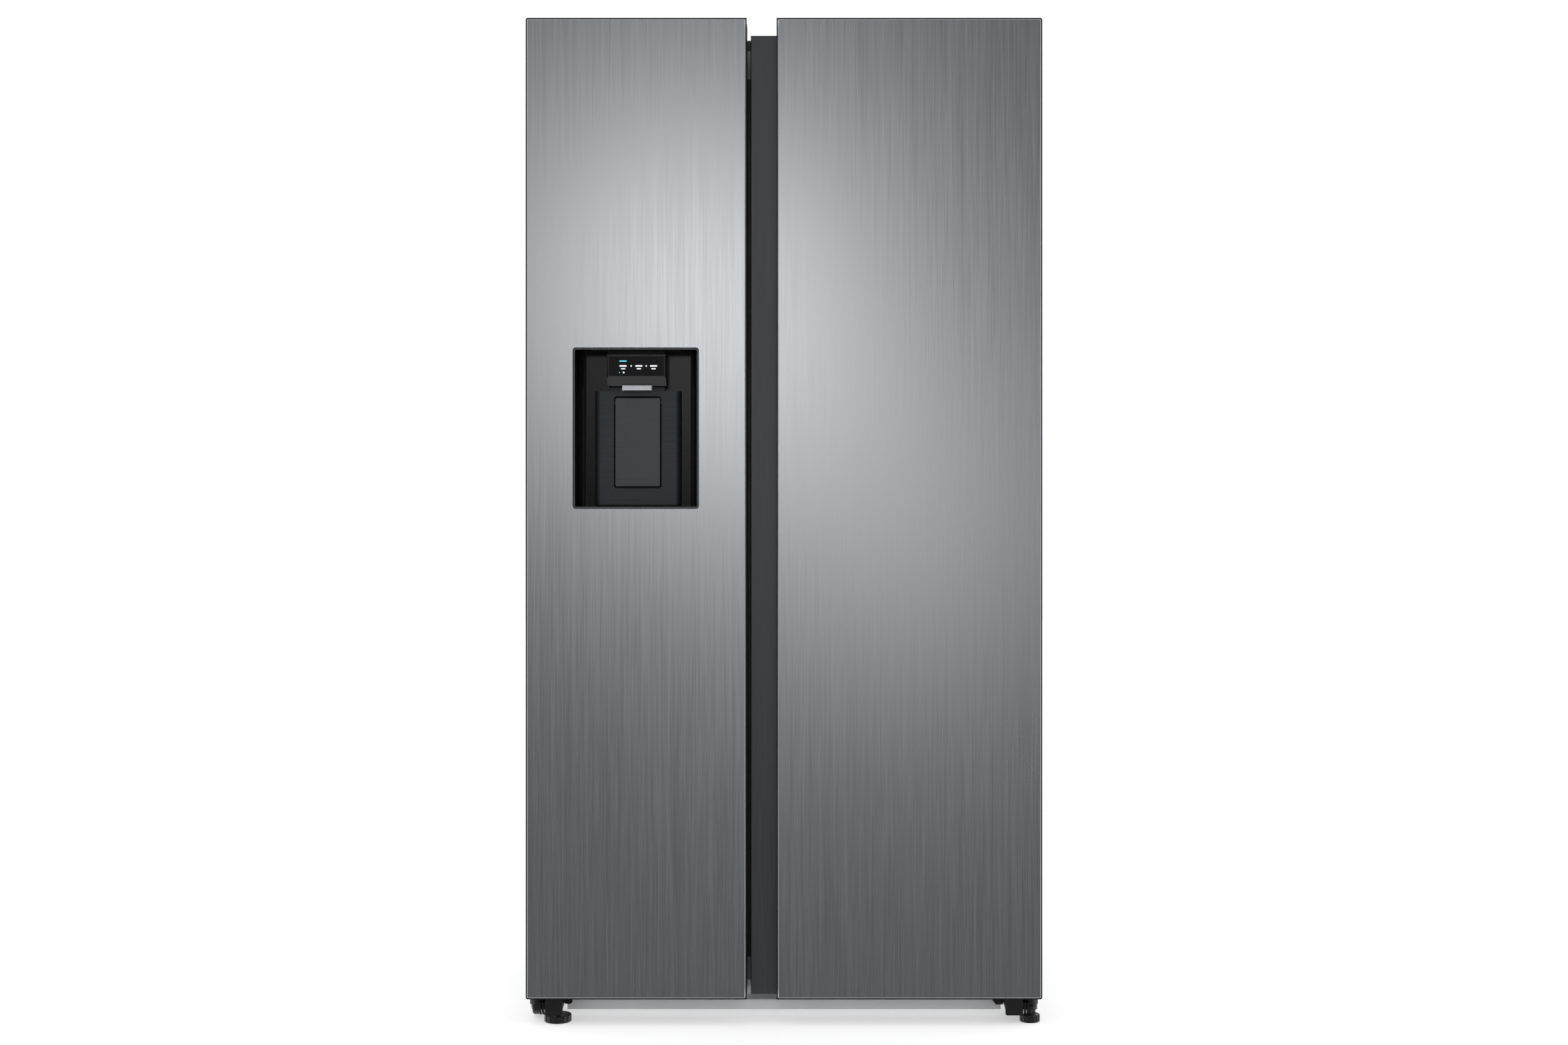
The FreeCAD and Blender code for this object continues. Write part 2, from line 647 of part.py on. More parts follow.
def door_frame(side):
    """Dark frame of a door: its sides, top and bottom, open at the front and the back."""
    x0, x1 = panel_span(side)
    frame = door_solid(side, 0).cut(door_solid(side, DOOR_SKIN))
    seat = panel_seat(side, FRONT_Y, FRONT_Y + DOOR_SKIN + PANEL_PROUD + 1)
    back = box(min(x0, STRIP_LEFT if side > 0 else x0) + DOOR_SKIN, x1 - DOOR_SKIN, DOOR_BACK - DOOR_SKIN - 1,
               DOOR_BACK + 1, DOOR_BOTTOM + DOOR_SKIN, DOOR_TOP - DOOR_SKIN)
    back = back.cut(hinge_notch(side, DOOR_SKIN))
    if side > 0:
        back = back.cut(strip_trim(DOOR_SKIN))
    frame = joined([frame.cut(seat).cut(back)] + pin_bushes(side))
    return frame.cut(pin_hole(side, PIN_RADIUS + PIN_FIT))


def panel_seat(side, y0, y1):
    """Block of the steel panel's outline between two depths."""
    x0, x1 = panel_span(side)
    return soft_box(x0 + PANEL_INSET, x1 - PANEL_INSET, y0, y1,
                    DOOR_BOTTOM + PANEL_INSET, DOOR_TOP - PANEL_INSET, 2.0, "y")


def door_panel(side):
    """Brushed steel front with a bevel round its edge."""
    panel = panel_seat(side, FRONT_Y, FRONT_Y + PANEL_THICKNESS)
    front = [e for e in panel.Edges if all(v.Point.y < FRONT_Y + 0.01 for v in e.Vertexes)]
    panel = panel.makeChamfer(PANEL_BEVEL, front)
    if side < 0:
        panel = panel.cut(dispenser_hole(0, FRONT_Y - 1, FRONT_Y + PANEL_THICKNESS + 1))
    return panel


def dyke_span(side):
    """Left and right edges of the rim on a door's inner side."""
    return FREEZER_DYKE_X if side < 0 else FRIDGE_DYKE_X


def dyke_ring(side, wall, inset, y0, y1):
    """Rectangular ring of the rim, between two depths."""
    x0, x1 = dyke_span(side)
    outer = box(x0 + inset, x1 - inset, y0, y1, DYKE_Z[0] + inset, DYKE_Z[1] - inset)
    width = wall - inset
    inner = box(x0 + width, x1 - width, y0 - 1, y1 + 1, DYKE_Z[0] + width, DYKE_Z[1] - width)
    return outer.cut(inner)


def door_liner(side):
    """White inner side of a door, with the rim that holds the bins and meets the room's air."""
    x0, x1 = panel_span(side)
    if side > 0:
        x0 = STRIP_LEFT
    plate = box(x0 + DOOR_SKIN, x1 - DOOR_SKIN, DOOR_BACK - LINER, DOOR_BACK,
                DOOR_BOTTOM + DOOR_SKIN, DOOR_TOP - DOOR_SKIN)
    plate = plate.cut(hinge_notch(side, DOOR_SKIN))
    if side > 0:
        plate = plate.cut(strip_trim(DOOR_SKIN))
    rim = dyke_ring(side, DYKE_WIDTH, 0, DOOR_BACK - 1, DOOR_BACK + DYKE_DEPTH)
    crest = DOOR_BACK + DYKE_DEPTH
    rim_edges = [e for e in rim.Edges if all(v.Point.y > crest - 0.1 for v in e.Vertexes)]
    rim = rim.makeFillet(DYKE_EDGE, rim_edges)
    hollow = dyke_ring(side, DYKE_WIDTH - LINER, LINER, DOOR_BACK - LINER - 1, crest - LINER - DYKE_FOAM_GAP)
    shape = joined([plate, rim]).cut(hollow)
    if side < 0:
        shape = shape.cut(chute_block(1.0))
    return shape


def door_core(side):
    """Foam inside a door."""
    core = door_solid(side, DOOR_SKIN)
    keep = box(-HALF_WIDTH, HALF_WIDTH, FRONT_Y + PANEL_THICKNESS, DOOR_BACK - LINER, DOOR_BOTTOM, DOOR_TOP)
    core = core.common(keep)
    for bush in pin_bushes(side):
        core = core.cut(bush)
    rim = dyke_ring(side, DYKE_WIDTH - LINER, LINER, DOOR_BACK - LINER - 0.5,
                    DOOR_BACK + DYKE_DEPTH - LINER - DYKE_FOAM_GAP)
    core = joined([core, rim])
    if side < 0:
        core = core.cut(dispenser_hole(0, FRONT_Y - 1, FRONT_Y + RECESS_DEPTH))
        core = core.cut(chute_block(1.0))
    return core


def door_gasket(side):
    """Magnetic gasket round a door's inner side, between the door and the case's front."""
    if side < 0:
        x0, x1 = -GASKET_EDGE, GASKET_FREE_LEFT
    else:
        x0, x1 = GASKET_FREE_RIGHT, GASKET_EDGE
    y1 = CASE_FRONT - CLEARANCE
    outer = box(x0, x1, DOOR_BACK, y1, GASKET_Z[0], GASKET_Z[1])
    outer = outer.makeFillet(6, edges_along(outer, "y"))
    w = GASKET_WIDTH
    inner = box(x0 + w, x1 - w, DOOR_BACK - 1, y1 + 1, GASKET_Z[0] + w, GASKET_Z[1] - w)
    ring = outer.cut(inner)
    middle = w / 2
    groove_outer = box(x0 + middle - 2, x1 - middle + 2, y1 - 3, y1 + 1,
                       GASKET_Z[0] + middle - 2, GASKET_Z[1] - middle + 2)
    groove_inner = box(x0 + middle + 2, x1 - middle - 2, y1 - 4, y1 + 2,
                       GASKET_Z[0] + middle + 2, GASKET_Z[1] - middle - 2)
    return ring.cut(groove_outer.cut(groove_inner))


def door_bin(x0, x1, z, height, depth):
    """Open-topped bin behind a door, with a lower front rail and rounded outer corners."""
    y0 = DOOR_BACK
    y1 = DOOR_BACK + depth
    outer = box(x0, x1, y0, y1, z, z + height)
    upright = edges_along(outer, "z", lambda p: p.y > y1 - 1)
    lower = edges_along(outer, "x", lambda p: p.y > y1 - 1 and p.z < z + 1)
    outer = outer.makeFillet(BIN_CORNER, upright + lower)
    inner = box(x0 + BIN_WALL, x1 - BIN_WALL, y0 + BIN_WALL, y1 - BIN_WALL, z + BIN_WALL, z + height + 1)
    inner = inner.makeFillet(BIN_CORNER - 3, edges_along(inner, "z", lambda p: p.y > y1 - BIN_WALL - 1))
    return outer.cut(inner)


def door_bins(side):
    """All the bins of one door."""
    x0, x1 = dyke_span(side)
    x0 += DYKE_WIDTH
    x1 -= DYKE_WIDTH
    if side < 0:
        return group([door_bin(x0, x1, z, FREEZER_BIN_HEIGHT, FREEZER_BIN_DEPTH) for z in FREEZER_BIN_Z])
    return group([door_bin(x0, x1, z, FRIDGE_BIN_HEIGHT, BIN_DEPTH) for z in FRIDGE_BIN_Z])


def handle_strip():
    """Dark brushed strip that the fingers pass over to reach behind either panel."""
    y0 = FRONT_Y + STRIP_SETBACK
    strip_right = RIGHT_PANEL_LEFT + GRIP_DEPTH - 0.2
    strip = box(STRIP_LEFT, strip_right, y0, y0 + STRIP_PLATE, STRIP_BOTTOM, STRIP_TOP)
    left_edge = edges_along(strip, "z", lambda p: p.x < STRIP_LEFT + 1 and p.y < y0 + 0.1)
    ends = edges_along(strip, "x", lambda p: p.y < y0 + 0.1)
    strip = strip.makeChamfer(1.0, left_edge + ends)
    return strip


# ---------------------------------------------------------------- dispenser and ice parts
def chute_outline(inset):
    """Side view of the ice chute's slanted channel."""
    half = CHUTE_HALF_DEPTH - inset
    return [
        (CHUTE_TOP_Y - half, CHUTE_TOP_Z), (CHUTE_TOP_Y + half, CHUTE_TOP_Z),
        (CHUTE_FOOT_Y + half, CHUTE_FOOT_Z), (CHUTE_FOOT_Y - half, CHUTE_FOOT_Z),
    ]


def chute_block(grow):
    """Solid block of the chute's outside."""
    half = CHUTE_WIDTH / 2 + grow
    return slab(chute_outline(-grow), "x", DISPENSER_MID - half, 2 * half)


def ice_chute():
    """Translucent channel from the ice bucket's floor to the dispenser's mouth."""
    half = CHUTE_WIDTH / 2 - CHUTE_WALL
    inner = slab(chute_outline(CHUTE_WALL), "x", DISPENSER_MID - half, 2 * half)
    chute = chute_block(0).cut(inner)
    return chute.cut(rod(FLAP_AXLE + PIN_FIT, (DISPENSER_MID - CHUTE_WIDTH, FLAP_Y, FLAP_Z), (1, 0, 0),
                         2 * CHUTE_WIDTH))


def ice_flap():
    """Flap that closes the chute, on its own axle."""
    half = CHUTE_WIDTH / 2 - CHUTE_WALL - 1
    plate = box(DISPENSER_MID - half, DISPENSER_MID + half, FLAP_Y - FLAP_LENGTH, FLAP_Y,
                FLAP_Z - FLAP_THICKNESS / 2, FLAP_Z + FLAP_THICKNESS / 2)
    axle = rod(FLAP_AXLE, (DISPENSER_MID - CHUTE_WIDTH / 2, FLAP_Y, FLAP_Z), (1, 0, 0), CHUTE_WIDTH)
    return joined([plate, axle])


def dispenser_bezel():
    """Thin frame round the dispenser's opening."""
    y0 = FRONT_Y
    y1 = FRONT_Y + BEZEL_DEPTH
    outer = dispenser_hole(0, y0, y1)
    inner = soft_box(DISPENSER_X[0] + BEZEL_RIM, DISPENSER_X[1] - BEZEL_RIM, y0 - 1, y1 + 1,
                     DISPENSER_Z[0] + BEZEL_RIM, DISPENSER_Z[1] - BEZEL_RIM, 2.0, "y")
    ring = outer.cut(inner)
    front = [e for e in ring.Edges if all(v.Point.y < y0 + 0.01 for v in e.Vertexes)]
    return ring.makeChamfer(0.8, front)


def paddle_pocket():
    """Space behind and round the paddle."""
    return soft_box(DISPENSER_MID - POCKET_HALF, DISPENSER_MID + POCKET_HALF, FRONT_Y, RECESS_FLOOR_Y - 1,
                    PADDLE_Z[0] - POCKET_GAP, PADDLE_Z[1] + POCKET_GAP, 5.0, "y")


def dispenser_recess():
    """Moulded recess with a raised centre panel, which has the paddle's pocket in it."""
    y0 = FRONT_Y + BEZEL_DEPTH
    y1 = FRONT_Y + RECESS_DEPTH
    outer = dispenser_hole(0, y0, y1)
    hollow = box(DISPENSER_X[0] + BEZEL_RIM, DISPENSER_X[1] - BEZEL_RIM, y0 - 1, RECESS_FLOOR_Y,
                 DISPENSER_Z[0] + BEZEL_RIM, DISPENSER_Z[1] - BEZEL_RIM)
    hollow = hollow.makeFillet(14, edges_along(hollow, "z", lambda p: p.y > RECESS_FLOOR_Y - 1))
    shell = outer.cut(hollow)
    half = RAISED_HALF
    raised = box(DISPENSER_MID - half, DISPENSER_MID + half, RAISED_FACE_Y, RECESS_FLOOR_Y + 0.5,
                 RAISED_BOTTOM, RAISED_TOP)
    raised = raised.makeFillet(9, edges_along(raised, "z", lambda p: p.y < RAISED_FACE_Y + 1))
    raised = raised.makeFillet(2, [e for e in raised.Edges if all(
        v.Point.z < RAISED_BOTTOM + 0.1 and v.Point.y < RECESS_FLOOR_Y for v in e.Vertexes)])
    neck_half = HEAD_HALF - 4
    neck = box(DISPENSER_MID - neck_half, DISPENSER_MID + neck_half, RAISED_FACE_Y + 6, RECESS_FLOOR_Y + 0.5,
               RAISED_TOP - 1, DISPENSER_Z[1] - BEZEL_RIM + 0.5)
    recess = joined([shell, raised, neck]).cut(paddle_pocket()).cut(chute_block(0.6)).cut(head_block(0.4))
    holes = rod(PADDLE_AXLE + PIN_FIT, (DISPENSER_MID - PADDLE_PIN_HALF - 0.5, PADDLE_AXLE_Y, PADDLE_AXLE_Z),
                (1, 0, 0), 2 * PADDLE_PIN_HALF + 1)
    return recess.cut(holes)


def dispenser_paddle():
    """Lever that starts the water or ice when a glass pushes it back."""
    plate = soft_box(DISPENSER_MID - PADDLE_HALF, DISPENSER_MID + PADDLE_HALF,
                     PADDLE_FACE_Y, PADDLE_FACE_Y + PADDLE_PLATE, PADDLE_Z[0], PADDLE_Z[1], 3.5, "y")
    front = [e for e in plate.Edges if all(v.Point.y < PADDLE_FACE_Y + 0.01 for v in e.Vertexes)]
    plate = plate.makeFillet(1.2, front)
    boss = box(DISPENSER_MID - PADDLE_HALF + 4, DISPENSER_MID + PADDLE_HALF - 4,
               PADDLE_FACE_Y + PADDLE_PLATE - 1,
               PADDLE_AXLE_Y + 1, PADDLE_AXLE_Z - 4, PADDLE_AXLE_Z + 4)
    axle = rod(PADDLE_AXLE, (DISPENSER_MID - PADDLE_PIN_HALF, PADDLE_AXLE_Y, PADDLE_AXLE_Z), (1, 0, 0),
               2 * PADDLE_PIN_HALF)
    return joined([plate, boss, axle])


def head_block(grow):
    """Solid outside of the control head over the paddle."""
    lip_y = FRONT_Y + HEAD_LIP - grow
    face_y = FRONT_Y + HEAD_FACE - grow
    chin_y = FRONT_Y + HEAD_CHIN - grow
    back_y = RECESS_FLOOR_Y - 2
    outline = [
        (lip_y, HEAD_TOP), (face_y, HEAD_TOP - HEAD_BROW),
        (face_y + HEAD_LEAN, HEAD_TOP - HEAD_BROW - HEAD_SLOPE),
        (chin_y, HEAD_BOTTOM - grow), (back_y, HEAD_BOTTOM - grow), (back_y, HEAD_TOP),
    ]
    half = HEAD_HALF + grow
    head = slab(outline, "x", DISPENSER_MID - half, 2 * half)
    if grow > 0:
        return head
    upright = [e for e in head.Edges if all(v.Point.y < face_y + HEAD_LEAN + 1 for v in e.Vertexes)
               and abs(e.Vertexes[0].Point.x - e.Vertexes[-1].Point.x) < 0.1]
    return head.makeFillet(4, upright)


def dispenser_head():
    """Control head, with a groove under its top lip and the chute's way through it."""
    head = head_block(0).cut(chute_block(0.6))
    groove = box(DISPENSER_MID - HEAD_HALF - 1, DISPENSER_MID + HEAD_HALF + 1, FRONT_Y, FRONT_Y + HEAD_LIP,
                 HEAD_TOP - 9, HEAD_TOP - 7.5)
    return head.cut(groove)


def dispenser_display():
    """Glossy window on the control head's sloping face."""
    brow_z = HEAD_TOP - HEAD_BROW
    z0 = brow_z - HEAD_SLOPE + 1
    z1 = brow_z - 0.5
    face_y = FRONT_Y + HEAD_FACE
    low = face_y + HEAD_LEAN / HEAD_SLOPE * (brow_z - z0)
    high = face_y + HEAD_LEAN / HEAD_SLOPE * (brow_z - z1)
    half = HEAD_HALF - DISPLAY_INSET
    section = [(low - DISPLAY_GLASS, z0), (high - DISPLAY_GLASS, z1), (high, z1), (low, z0)]
    return slab(section, "x", DISPENSER_MID - half, 2 * half)


def ice_bucket():
    """Open bucket behind the door, with the hole over the chute and the auger's bearings."""
    x0, x1 = ICE_X
    outer = box(x0, x1, DOOR_BACK, ICE_BACK, CHUTE_TOP_Z, ICE_TOP)
    outer = outer.makeFillet(14, edges_along(outer, "z", lambda p: p.y > ICE_BACK - 1))
    inner = box(x0 + BIN_WALL, x1 - BIN_WALL, DOOR_BACK + BIN_WALL, ICE_BACK - BIN_WALL,
                CHUTE_TOP_Z + BIN_WALL, ICE_TOP + 1)
    inner = inner.makeFillet(11, edges_along(inner, "z", lambda p: p.y > ICE_BACK - BIN_WALL - 1))
    half = CHUTE_WIDTH / 2 - CHUTE_WALL
    mouth = box(DISPENSER_MID - half, DISPENSER_MID + half, CHUTE_TOP_Y - 20, CHUTE_TOP_Y + 20,
                CHUTE_TOP_Z - 1, CHUTE_TOP_Z + BIN_WALL + 1)
    bearing = rod(AUGER_SHAFT + PIN_FIT, (x0 - 1, AUGER_Y, AUGER_Z), (1, 0, 0), x1 - x0 + 2)
    return outer.cut(inner).cut(mouth).cut(bearing)


def ice_auger():
    """Shaft with staggered fingers that moves the ice to the chute."""
    x0, x1 = ICE_X
    shape = rod(AUGER_SHAFT, (x0 + 0.3, AUGER_Y, AUGER_Z), (1, 0, 0), x1 - x0 - 0.6)
    fingers = []
    step = (x1 - x0 - 40) / (AUGER_FINGERS - 1)
    for i in range(AUGER_FINGERS):
        x = x0 + 20 + i * step
        bar = box(x - 3, x + 3, AUGER_Y - 5, AUGER_Y + 5, AUGER_Z - AUGER_REACH, AUGER_Z + AUGER_REACH)
        bar.rotate(vec(x, AUGER_Y, AUGER_Z), vec(1, 0, 0), i * 36)
        fingers.append(bar)
    return joined([shape] + fingers)


def ice_maker():
    """Ice tray over the bucket, with its cell walls and its drive housing at one end."""
    x0, x1 = ICE_X
    y0 = DOOR_BACK
    tray = box(x0 + 4, x1 - 34, y0, y0 + 92, ICE_TOP + 26, ICE_TOP + 62)
    tray = tray.makeFillet(10, edges_along(tray, "x", lambda p: p.z < ICE_TOP + 27 and p.y > y0 + 50))
    cells = []
    pitch = (x1 - x0 - 38) / ICE_CELLS
    for i in range(ICE_CELLS):
        left = x0 + 4 + i * pitch
        for near, far in ((y0 + 6, y0 + 45), (y0 + 48, y0 + 88)):
            cells.append(box(left + 1.5, left + pitch - 1.5, near, far, ICE_TOP + 32, ICE_TOP + 63))
    for cell in cells:
        tray = tray.cut(cell)
    drive = box(x1 - 34, x1 - 2, y0, y0 + 98, ICE_TOP + 20, ICE_TOP + 92)
    drive = drive.makeFillet(5, edges_along(drive, "x", lambda p: p.y > y0 + 50))
    return joined([tray, drive])


# ---------------------------------------------------------------- rooms
def shelf_places():
    """Each shelf as its left and right ends, rear edge and height."""
    places = [(FREEZER_X[0] + 1, FREEZER_X[1] - 1, AIR_PANEL_Y - 6, z) for z in FREEZER_SHELF_Z]
    places += [(FRIDGE_X[0] + 1, FRIDGE_X[1] - 1, DUCT_FRONT - 5, z) for z in FRIDGE_SHELF_Z]
    return places


def glass_shelves():
    """Glass plates on the liners' ledges."""
    plates = []
    for x0, x1, back, z in shelf_places():
        plate = box(x0, x1, SHELF_FRONT, back, z, z + SHELF_THICKNESS)
        plates.append(plate)
    return group(plates)


def shelf_trims():
    """Moulded edges along the front and back of each glass shelf."""
    trims = []
    for x0, x1, back, z in shelf_places():
        left = x0 + LEDGE_REACH + 1
        right = x1 - LEDGE_REACH - 1
        front = box(left, right, SHELF_FRONT - 7, SHELF_FRONT + 8, z - 6, z + 9)
        front = front.makeFillet(4, edges_along(front, "x", lambda p: p.y < SHELF_FRONT - 6))
        rear = box(left, right, back - 8, back + 3, z - 3, z + 14)
        glass = box(x0, x1, SHELF_FRONT, back, z, z + SHELF_THICKNESS)
        trims += [front.cut(glass), rear.cut(glass)]
    return group(trims)


def drawer(x_range, z0, z1, back):
    """Clear drawer with side lips that hang over the liner's ledges, and a grip along its front."""
    x0 = x_range[0] + LEDGE_REACH + 2
    x1 = x_range[1] - LEDGE_REACH - 2
    outer = box(x0, x1, DRAWER_FRONT, back, z0, z1)
    outer = outer.makeFillet(8, edges_along(outer, "z") + edges_along(outer, "x", lambda p: p.z < z0 + 1))
    w = DRAWER_WALL
    inner = box(x0 + w, x1 - w, DRAWER_FRONT + w, back - w, z0 + w, z1 + 1)
    inner = inner.makeFillet(6, edges_along(inner, "z"))
    tub = outer.cut(inner)
    lips = [
        box(x0 - 7, x0 + 1, DRAWER_FRONT + 12, back - 10, z1 - DRAWER_LIP, z1),
        box(x1 - 1, x1 + 7, DRAWER_FRONT + 12, back - 10, z1 - DRAWER_LIP, z1),
    ]
    grip = box(x0 + 30, x1 - 30, DRAWER_FRONT - 11, DRAWER_FRONT + 1, z1 - 34, z1 - 6)
    grip = grip.makeFillet(4, edges_along(grip, "x", lambda p: p.y < DRAWER_FRONT - 10))
    finger = box(x0 + 34, x1 - 34, DRAWER_FRONT - 7, DRAWER_FRONT, z1 - 35, z1 - 12)
    return joined([tub] + lips + [grip.cut(finger)])


def finned_coil(x0, x1, y0, y1, z0, z1, fins, rows, columns):
    """Rows of tube through a stack of fins, with a thick plate at each end."""
    shapes = []
    for row in range(rows):
        for column in range(columns):
            y = y0 + (y1 - y0) * (column + 0.5) / columns
            z = z0 + (z1 - z0) * (row + 0.5) / rows
            shapes.append(rod(COIL_TUBE, (x0, y, z), (1, 0, 0), x1 - x0))
    for i in range(fins):
        x = x0 + 4 + (x1 - x0 - 9) * i / (fins - 1)
        shapes.append(box(x, x + 0.8, y0, y1, z0, z1))
    return shapes


def evaporator():
    """Cold coil behind the freezer's air panel."""
    x0 = FREEZER_X[0] + 10
    x1 = FREEZER_X[1] - 10
    return joined(finned_coil(x0, x1, AIR_PANEL_Y + 10, ROOM_BACK - 6, COLD_COIL_Z[0], COLD_COIL_Z[1],
                              fins=20, rows=8, columns=2))


def freezer_air_panel():
    """Panel over the cold coil, with air slots and the fan's hole and bearing bracket."""
    x0 = FREEZER_X[0] + 0.5
    x1 = FREEZER_X[1] - 0.5
    y0 = AIR_PANEL_Y
    y1 = y0 + PANEL_WALL
    panel = box(x0, x1, y0, y1, STEP_Z + 1, ROOM_TOP - 1)
    middle = (x0 + x1) / 2
    panel = panel.cut(rod(COLD_FAN_RADIUS + 5, (middle, y0 - 1, COLD_FAN_Z), (0, 1, 0), PANEL_WALL + 2))
    for z in AIR_SLOT_Z:
        for i in range(4):
            foot_z = z + i * 14
            slot = soft_box(middle - 80, middle + 80, y0 - 1, y1 + 1, foot_z, foot_z + 6, 2.5, "y")
            panel = panel.cut(slot)
    legs = [
        box(middle - 62, middle - 56, y1 - 1, y1 + 36, COLD_FAN_Z - 6, COLD_FAN_Z + 6),
        box(middle + 56, middle + 62, y1 - 1, y1 + 36, COLD_FAN_Z - 6, COLD_FAN_Z + 6),
        box(middle - 62, middle + 62, y1 + 30, y1 + 36, COLD_FAN_Z - 6, COLD_FAN_Z + 6),
        rod(FAN_PIN, (middle, y1 + 8, COLD_FAN_Z), (0, 1, 0), 24),
    ]
    return joined([panel] + legs)


def fan(blades, radius, hub, width, place, axis):
    """Fan wheel with pitched blades, made about +Z and then turned to its axis."""
    wheel = rod(hub, (0, 0, 0), (0, 0, 1), width)
    vanes = []
    for i in range(blades):
        vane = box(hub - 3, radius, -1.0, 1.0, -width * 0.25, width * 1.25)
        vane.rotate(vec(0, 0, width / 2), vec(1, 0, 0), 58)
        vane = vane.common(rod(radius, (0, 0, 0), (0, 0, 1), width))
        vane.rotate(vec(0, 0, 0), vec(0, 0, 1), i * 360.0 / blades)
        vanes.append(vane)
    wheel = joined([wheel] + vanes).cut(rod(FAN_PIN + PIN_FIT, (0, 0, -1), (0, 0, 1), width + 2))
    if axis == "y":
        wheel.rotate(vec(0, 0, 0), vec(1, 0, 0), -90)
    else:
        wheel.rotate(vec(0, 0, 0), vec(0, 1, 0), 90)
    wheel.translate(vec(*place))
    return wheel


def evaporator_fan():
    """Fan that blows cold air through the panel."""
    middle = (FREEZER_X[0] + FREEZER_X[1]) / 2
    return fan(5, COLD_FAN_RADIUS, 16.0, 14.0, (middle, AIR_PANEL_Y + PANEL_WALL + 8.5, COLD_FAN_Z), "y")


def fridge_air_duct():
    """Duct up the back of the fridge room, with its outlets."""
    z0 = STEP_Z + ROOM_CORNER
    z1 = ROOM_TOP - ROOM_CORNER
    outer = box(DUCT_X[0], DUCT_X[1], DUCT_FRONT, ROOM_BACK, z0, z1)
    outer = outer.makeFillet(8, edges_along(outer, "z", lambda p: p.y < DUCT_FRONT + 1))
    inner = box(DUCT_X[0] + 3, DUCT_X[1] - 3, DUCT_FRONT + 3, ROOM_BACK - 2, z0 + 3, z1 - 3)
    duct = outer.cut(inner)
    middle = sum(DUCT_X) / 2
    for z in DUCT_OUTLET_Z:
        for i in range(3):
            duct = duct.cut(soft_box(middle - 34, middle + 34, DUCT_FRONT - 1, DUCT_FRONT + 4,
                                     z + i * 13, z + 6 + i * 13, 2.5, "y"))
    return duct


def interior_lamps():
    """Lamp covers in the two rooms' ceilings."""
    lamps = []
    for middle, half in ((sum(FREEZER_X) / 2, 45), (sum(FRIDGE_X) / 2, 75)):
        lamp = box(middle - half, middle + half, LAMP_Y[0], LAMP_Y[1], ROOM_TOP - LAMP_DROP, ROOM_TOP)
        lower = edges_along(lamp, "x", lambda p: p.z < ROOM_TOP - LAMP_DROP + 1)
        lamps.append(lamp.makeFillet(5, edges_along(lamp, "z") + lower))
    return group(lamps)


# ---------------------------------------------------------------- machine compartment
def compressor():
    """Sealed compressor on its foot plate, with its pipes' stubs."""
    x, y = COMPRESSOR_AT
    deck = CASE_BOTTOM + BASE_SHEET
    can_top = deck + 14 + CAN_HEIGHT
    can = rod(CAN_RADIUS, (x, y, deck + 14), (0, 0, 1), CAN_HEIGHT)
    can = can.makeFillet(CAN_CROWN, [e for e in can.Edges if e.Curve.TypeId == "Part::GeomCircle"])
    plate = soft_box(x - 92, x + 92, y - 70, y + 70, deck + 12, deck + 15, 14, "z")
    feet = []
    for dx in (-78, 78):
        for dy in (-56, 56):
            feet.append(rod(11, (x + dx, y + dy, deck), (0, 0, 1), 12.5))
    seam = rod(CAN_RADIUS + 3, (x, y, deck + 84), (0, 0, 1), 4)
    box_side = box(x + 60, x + 88, y - 30, y + 30, deck + 40, deck + 100)
    pipes = [
        rod(PIPE_RADIUS, (x - 20, y + 20, can_top - 14), (0, 0, 1), 30),
        rod(PIPE_RADIUS, (x - 20, y - 30, can_top - 14), (0, 0, 1), 24),
    ]
    return joined([can, plate, seam, box_side] + feet + pipes)


def condenser():
    """Warm coil that stands in the drain tray."""
    x0, x1 = CONDENSER_X
    z0 = CASE_BOTTOM + BASE_SHEET + 2
    y0, y1 = CONDENSER_Y
    coil = finned_coil(x0, x1, y0, y1, 84, 236, fins=18, rows=5, columns=3)
    ends = [box(x0, x0 + 2, y0, y1, z0, CONDENSER_TOP), box(x1 - 2, x1, y0, y1, z0, CONDENSER_TOP)]
    return joined(coil + ends)


def drain_tray():
    """Tray that catches the thawed water under the warm coil."""
    x0, x1 = CONDENSER_X
    z0 = CASE_BOTTOM + BASE_SHEET
    y0 = CONDENSER_Y[0] - 14
    y1 = CONDENSER_Y[1] + 16
    outer = soft_box(x0 - 14, x1 + 14, y0, y1, z0, z0 + TRAY_HEIGHT, 10, "z")
    inner = soft_box(x0 - 12, x1 + 12, y0 + 2, y1 - 2, z0 + 2, z0 + TRAY_HEIGHT + 1, 8, "z")
    return outer.cut(inner)


def fan_shroud():
    """Plate with the warm fan's hole and the bracket that its motor pin stands on."""
    deck = CASE_BOTTOM + BASE_SHEET
    x = SHROUD_X
    y, z = WARM_FAN_AT
    plate = box(x, x + 3, MACHINE_FRONT + 6, CASE_BACK - 8, deck, MACHINE_TOP - 2)
    plate = plate.cut(rod(WARM_FAN_RADIUS + 5, (x - 1, y, z), (1, 0, 0), 5))
    reach = WARM_FAN_RADIUS + 8
    arms = [
        box(x - 34, x + 1, y - reach, y - reach + 6, z - 7, z + 7),
        box(x - 34, x + 1, y + reach - 6, y + reach, z - 7, z + 7),
        box(x - 34, x - 28, y - reach, y + reach, z - 7, z + 7),
        rod(22, (x - 52, y, z), (1, 0, 0), 25),
        rod(FAN_PIN, (x - 30, y, z), (1, 0, 0), 26),
    ]
    return joined([plate] + arms)


def condenser_fan():
    """Fan that draws air through the warm coil."""
    y, z = WARM_FAN_AT
    return fan(5, WARM_FAN_RADIUS, 20.0, 20.0, (SHROUD_X - 25.5, y, z), "x")


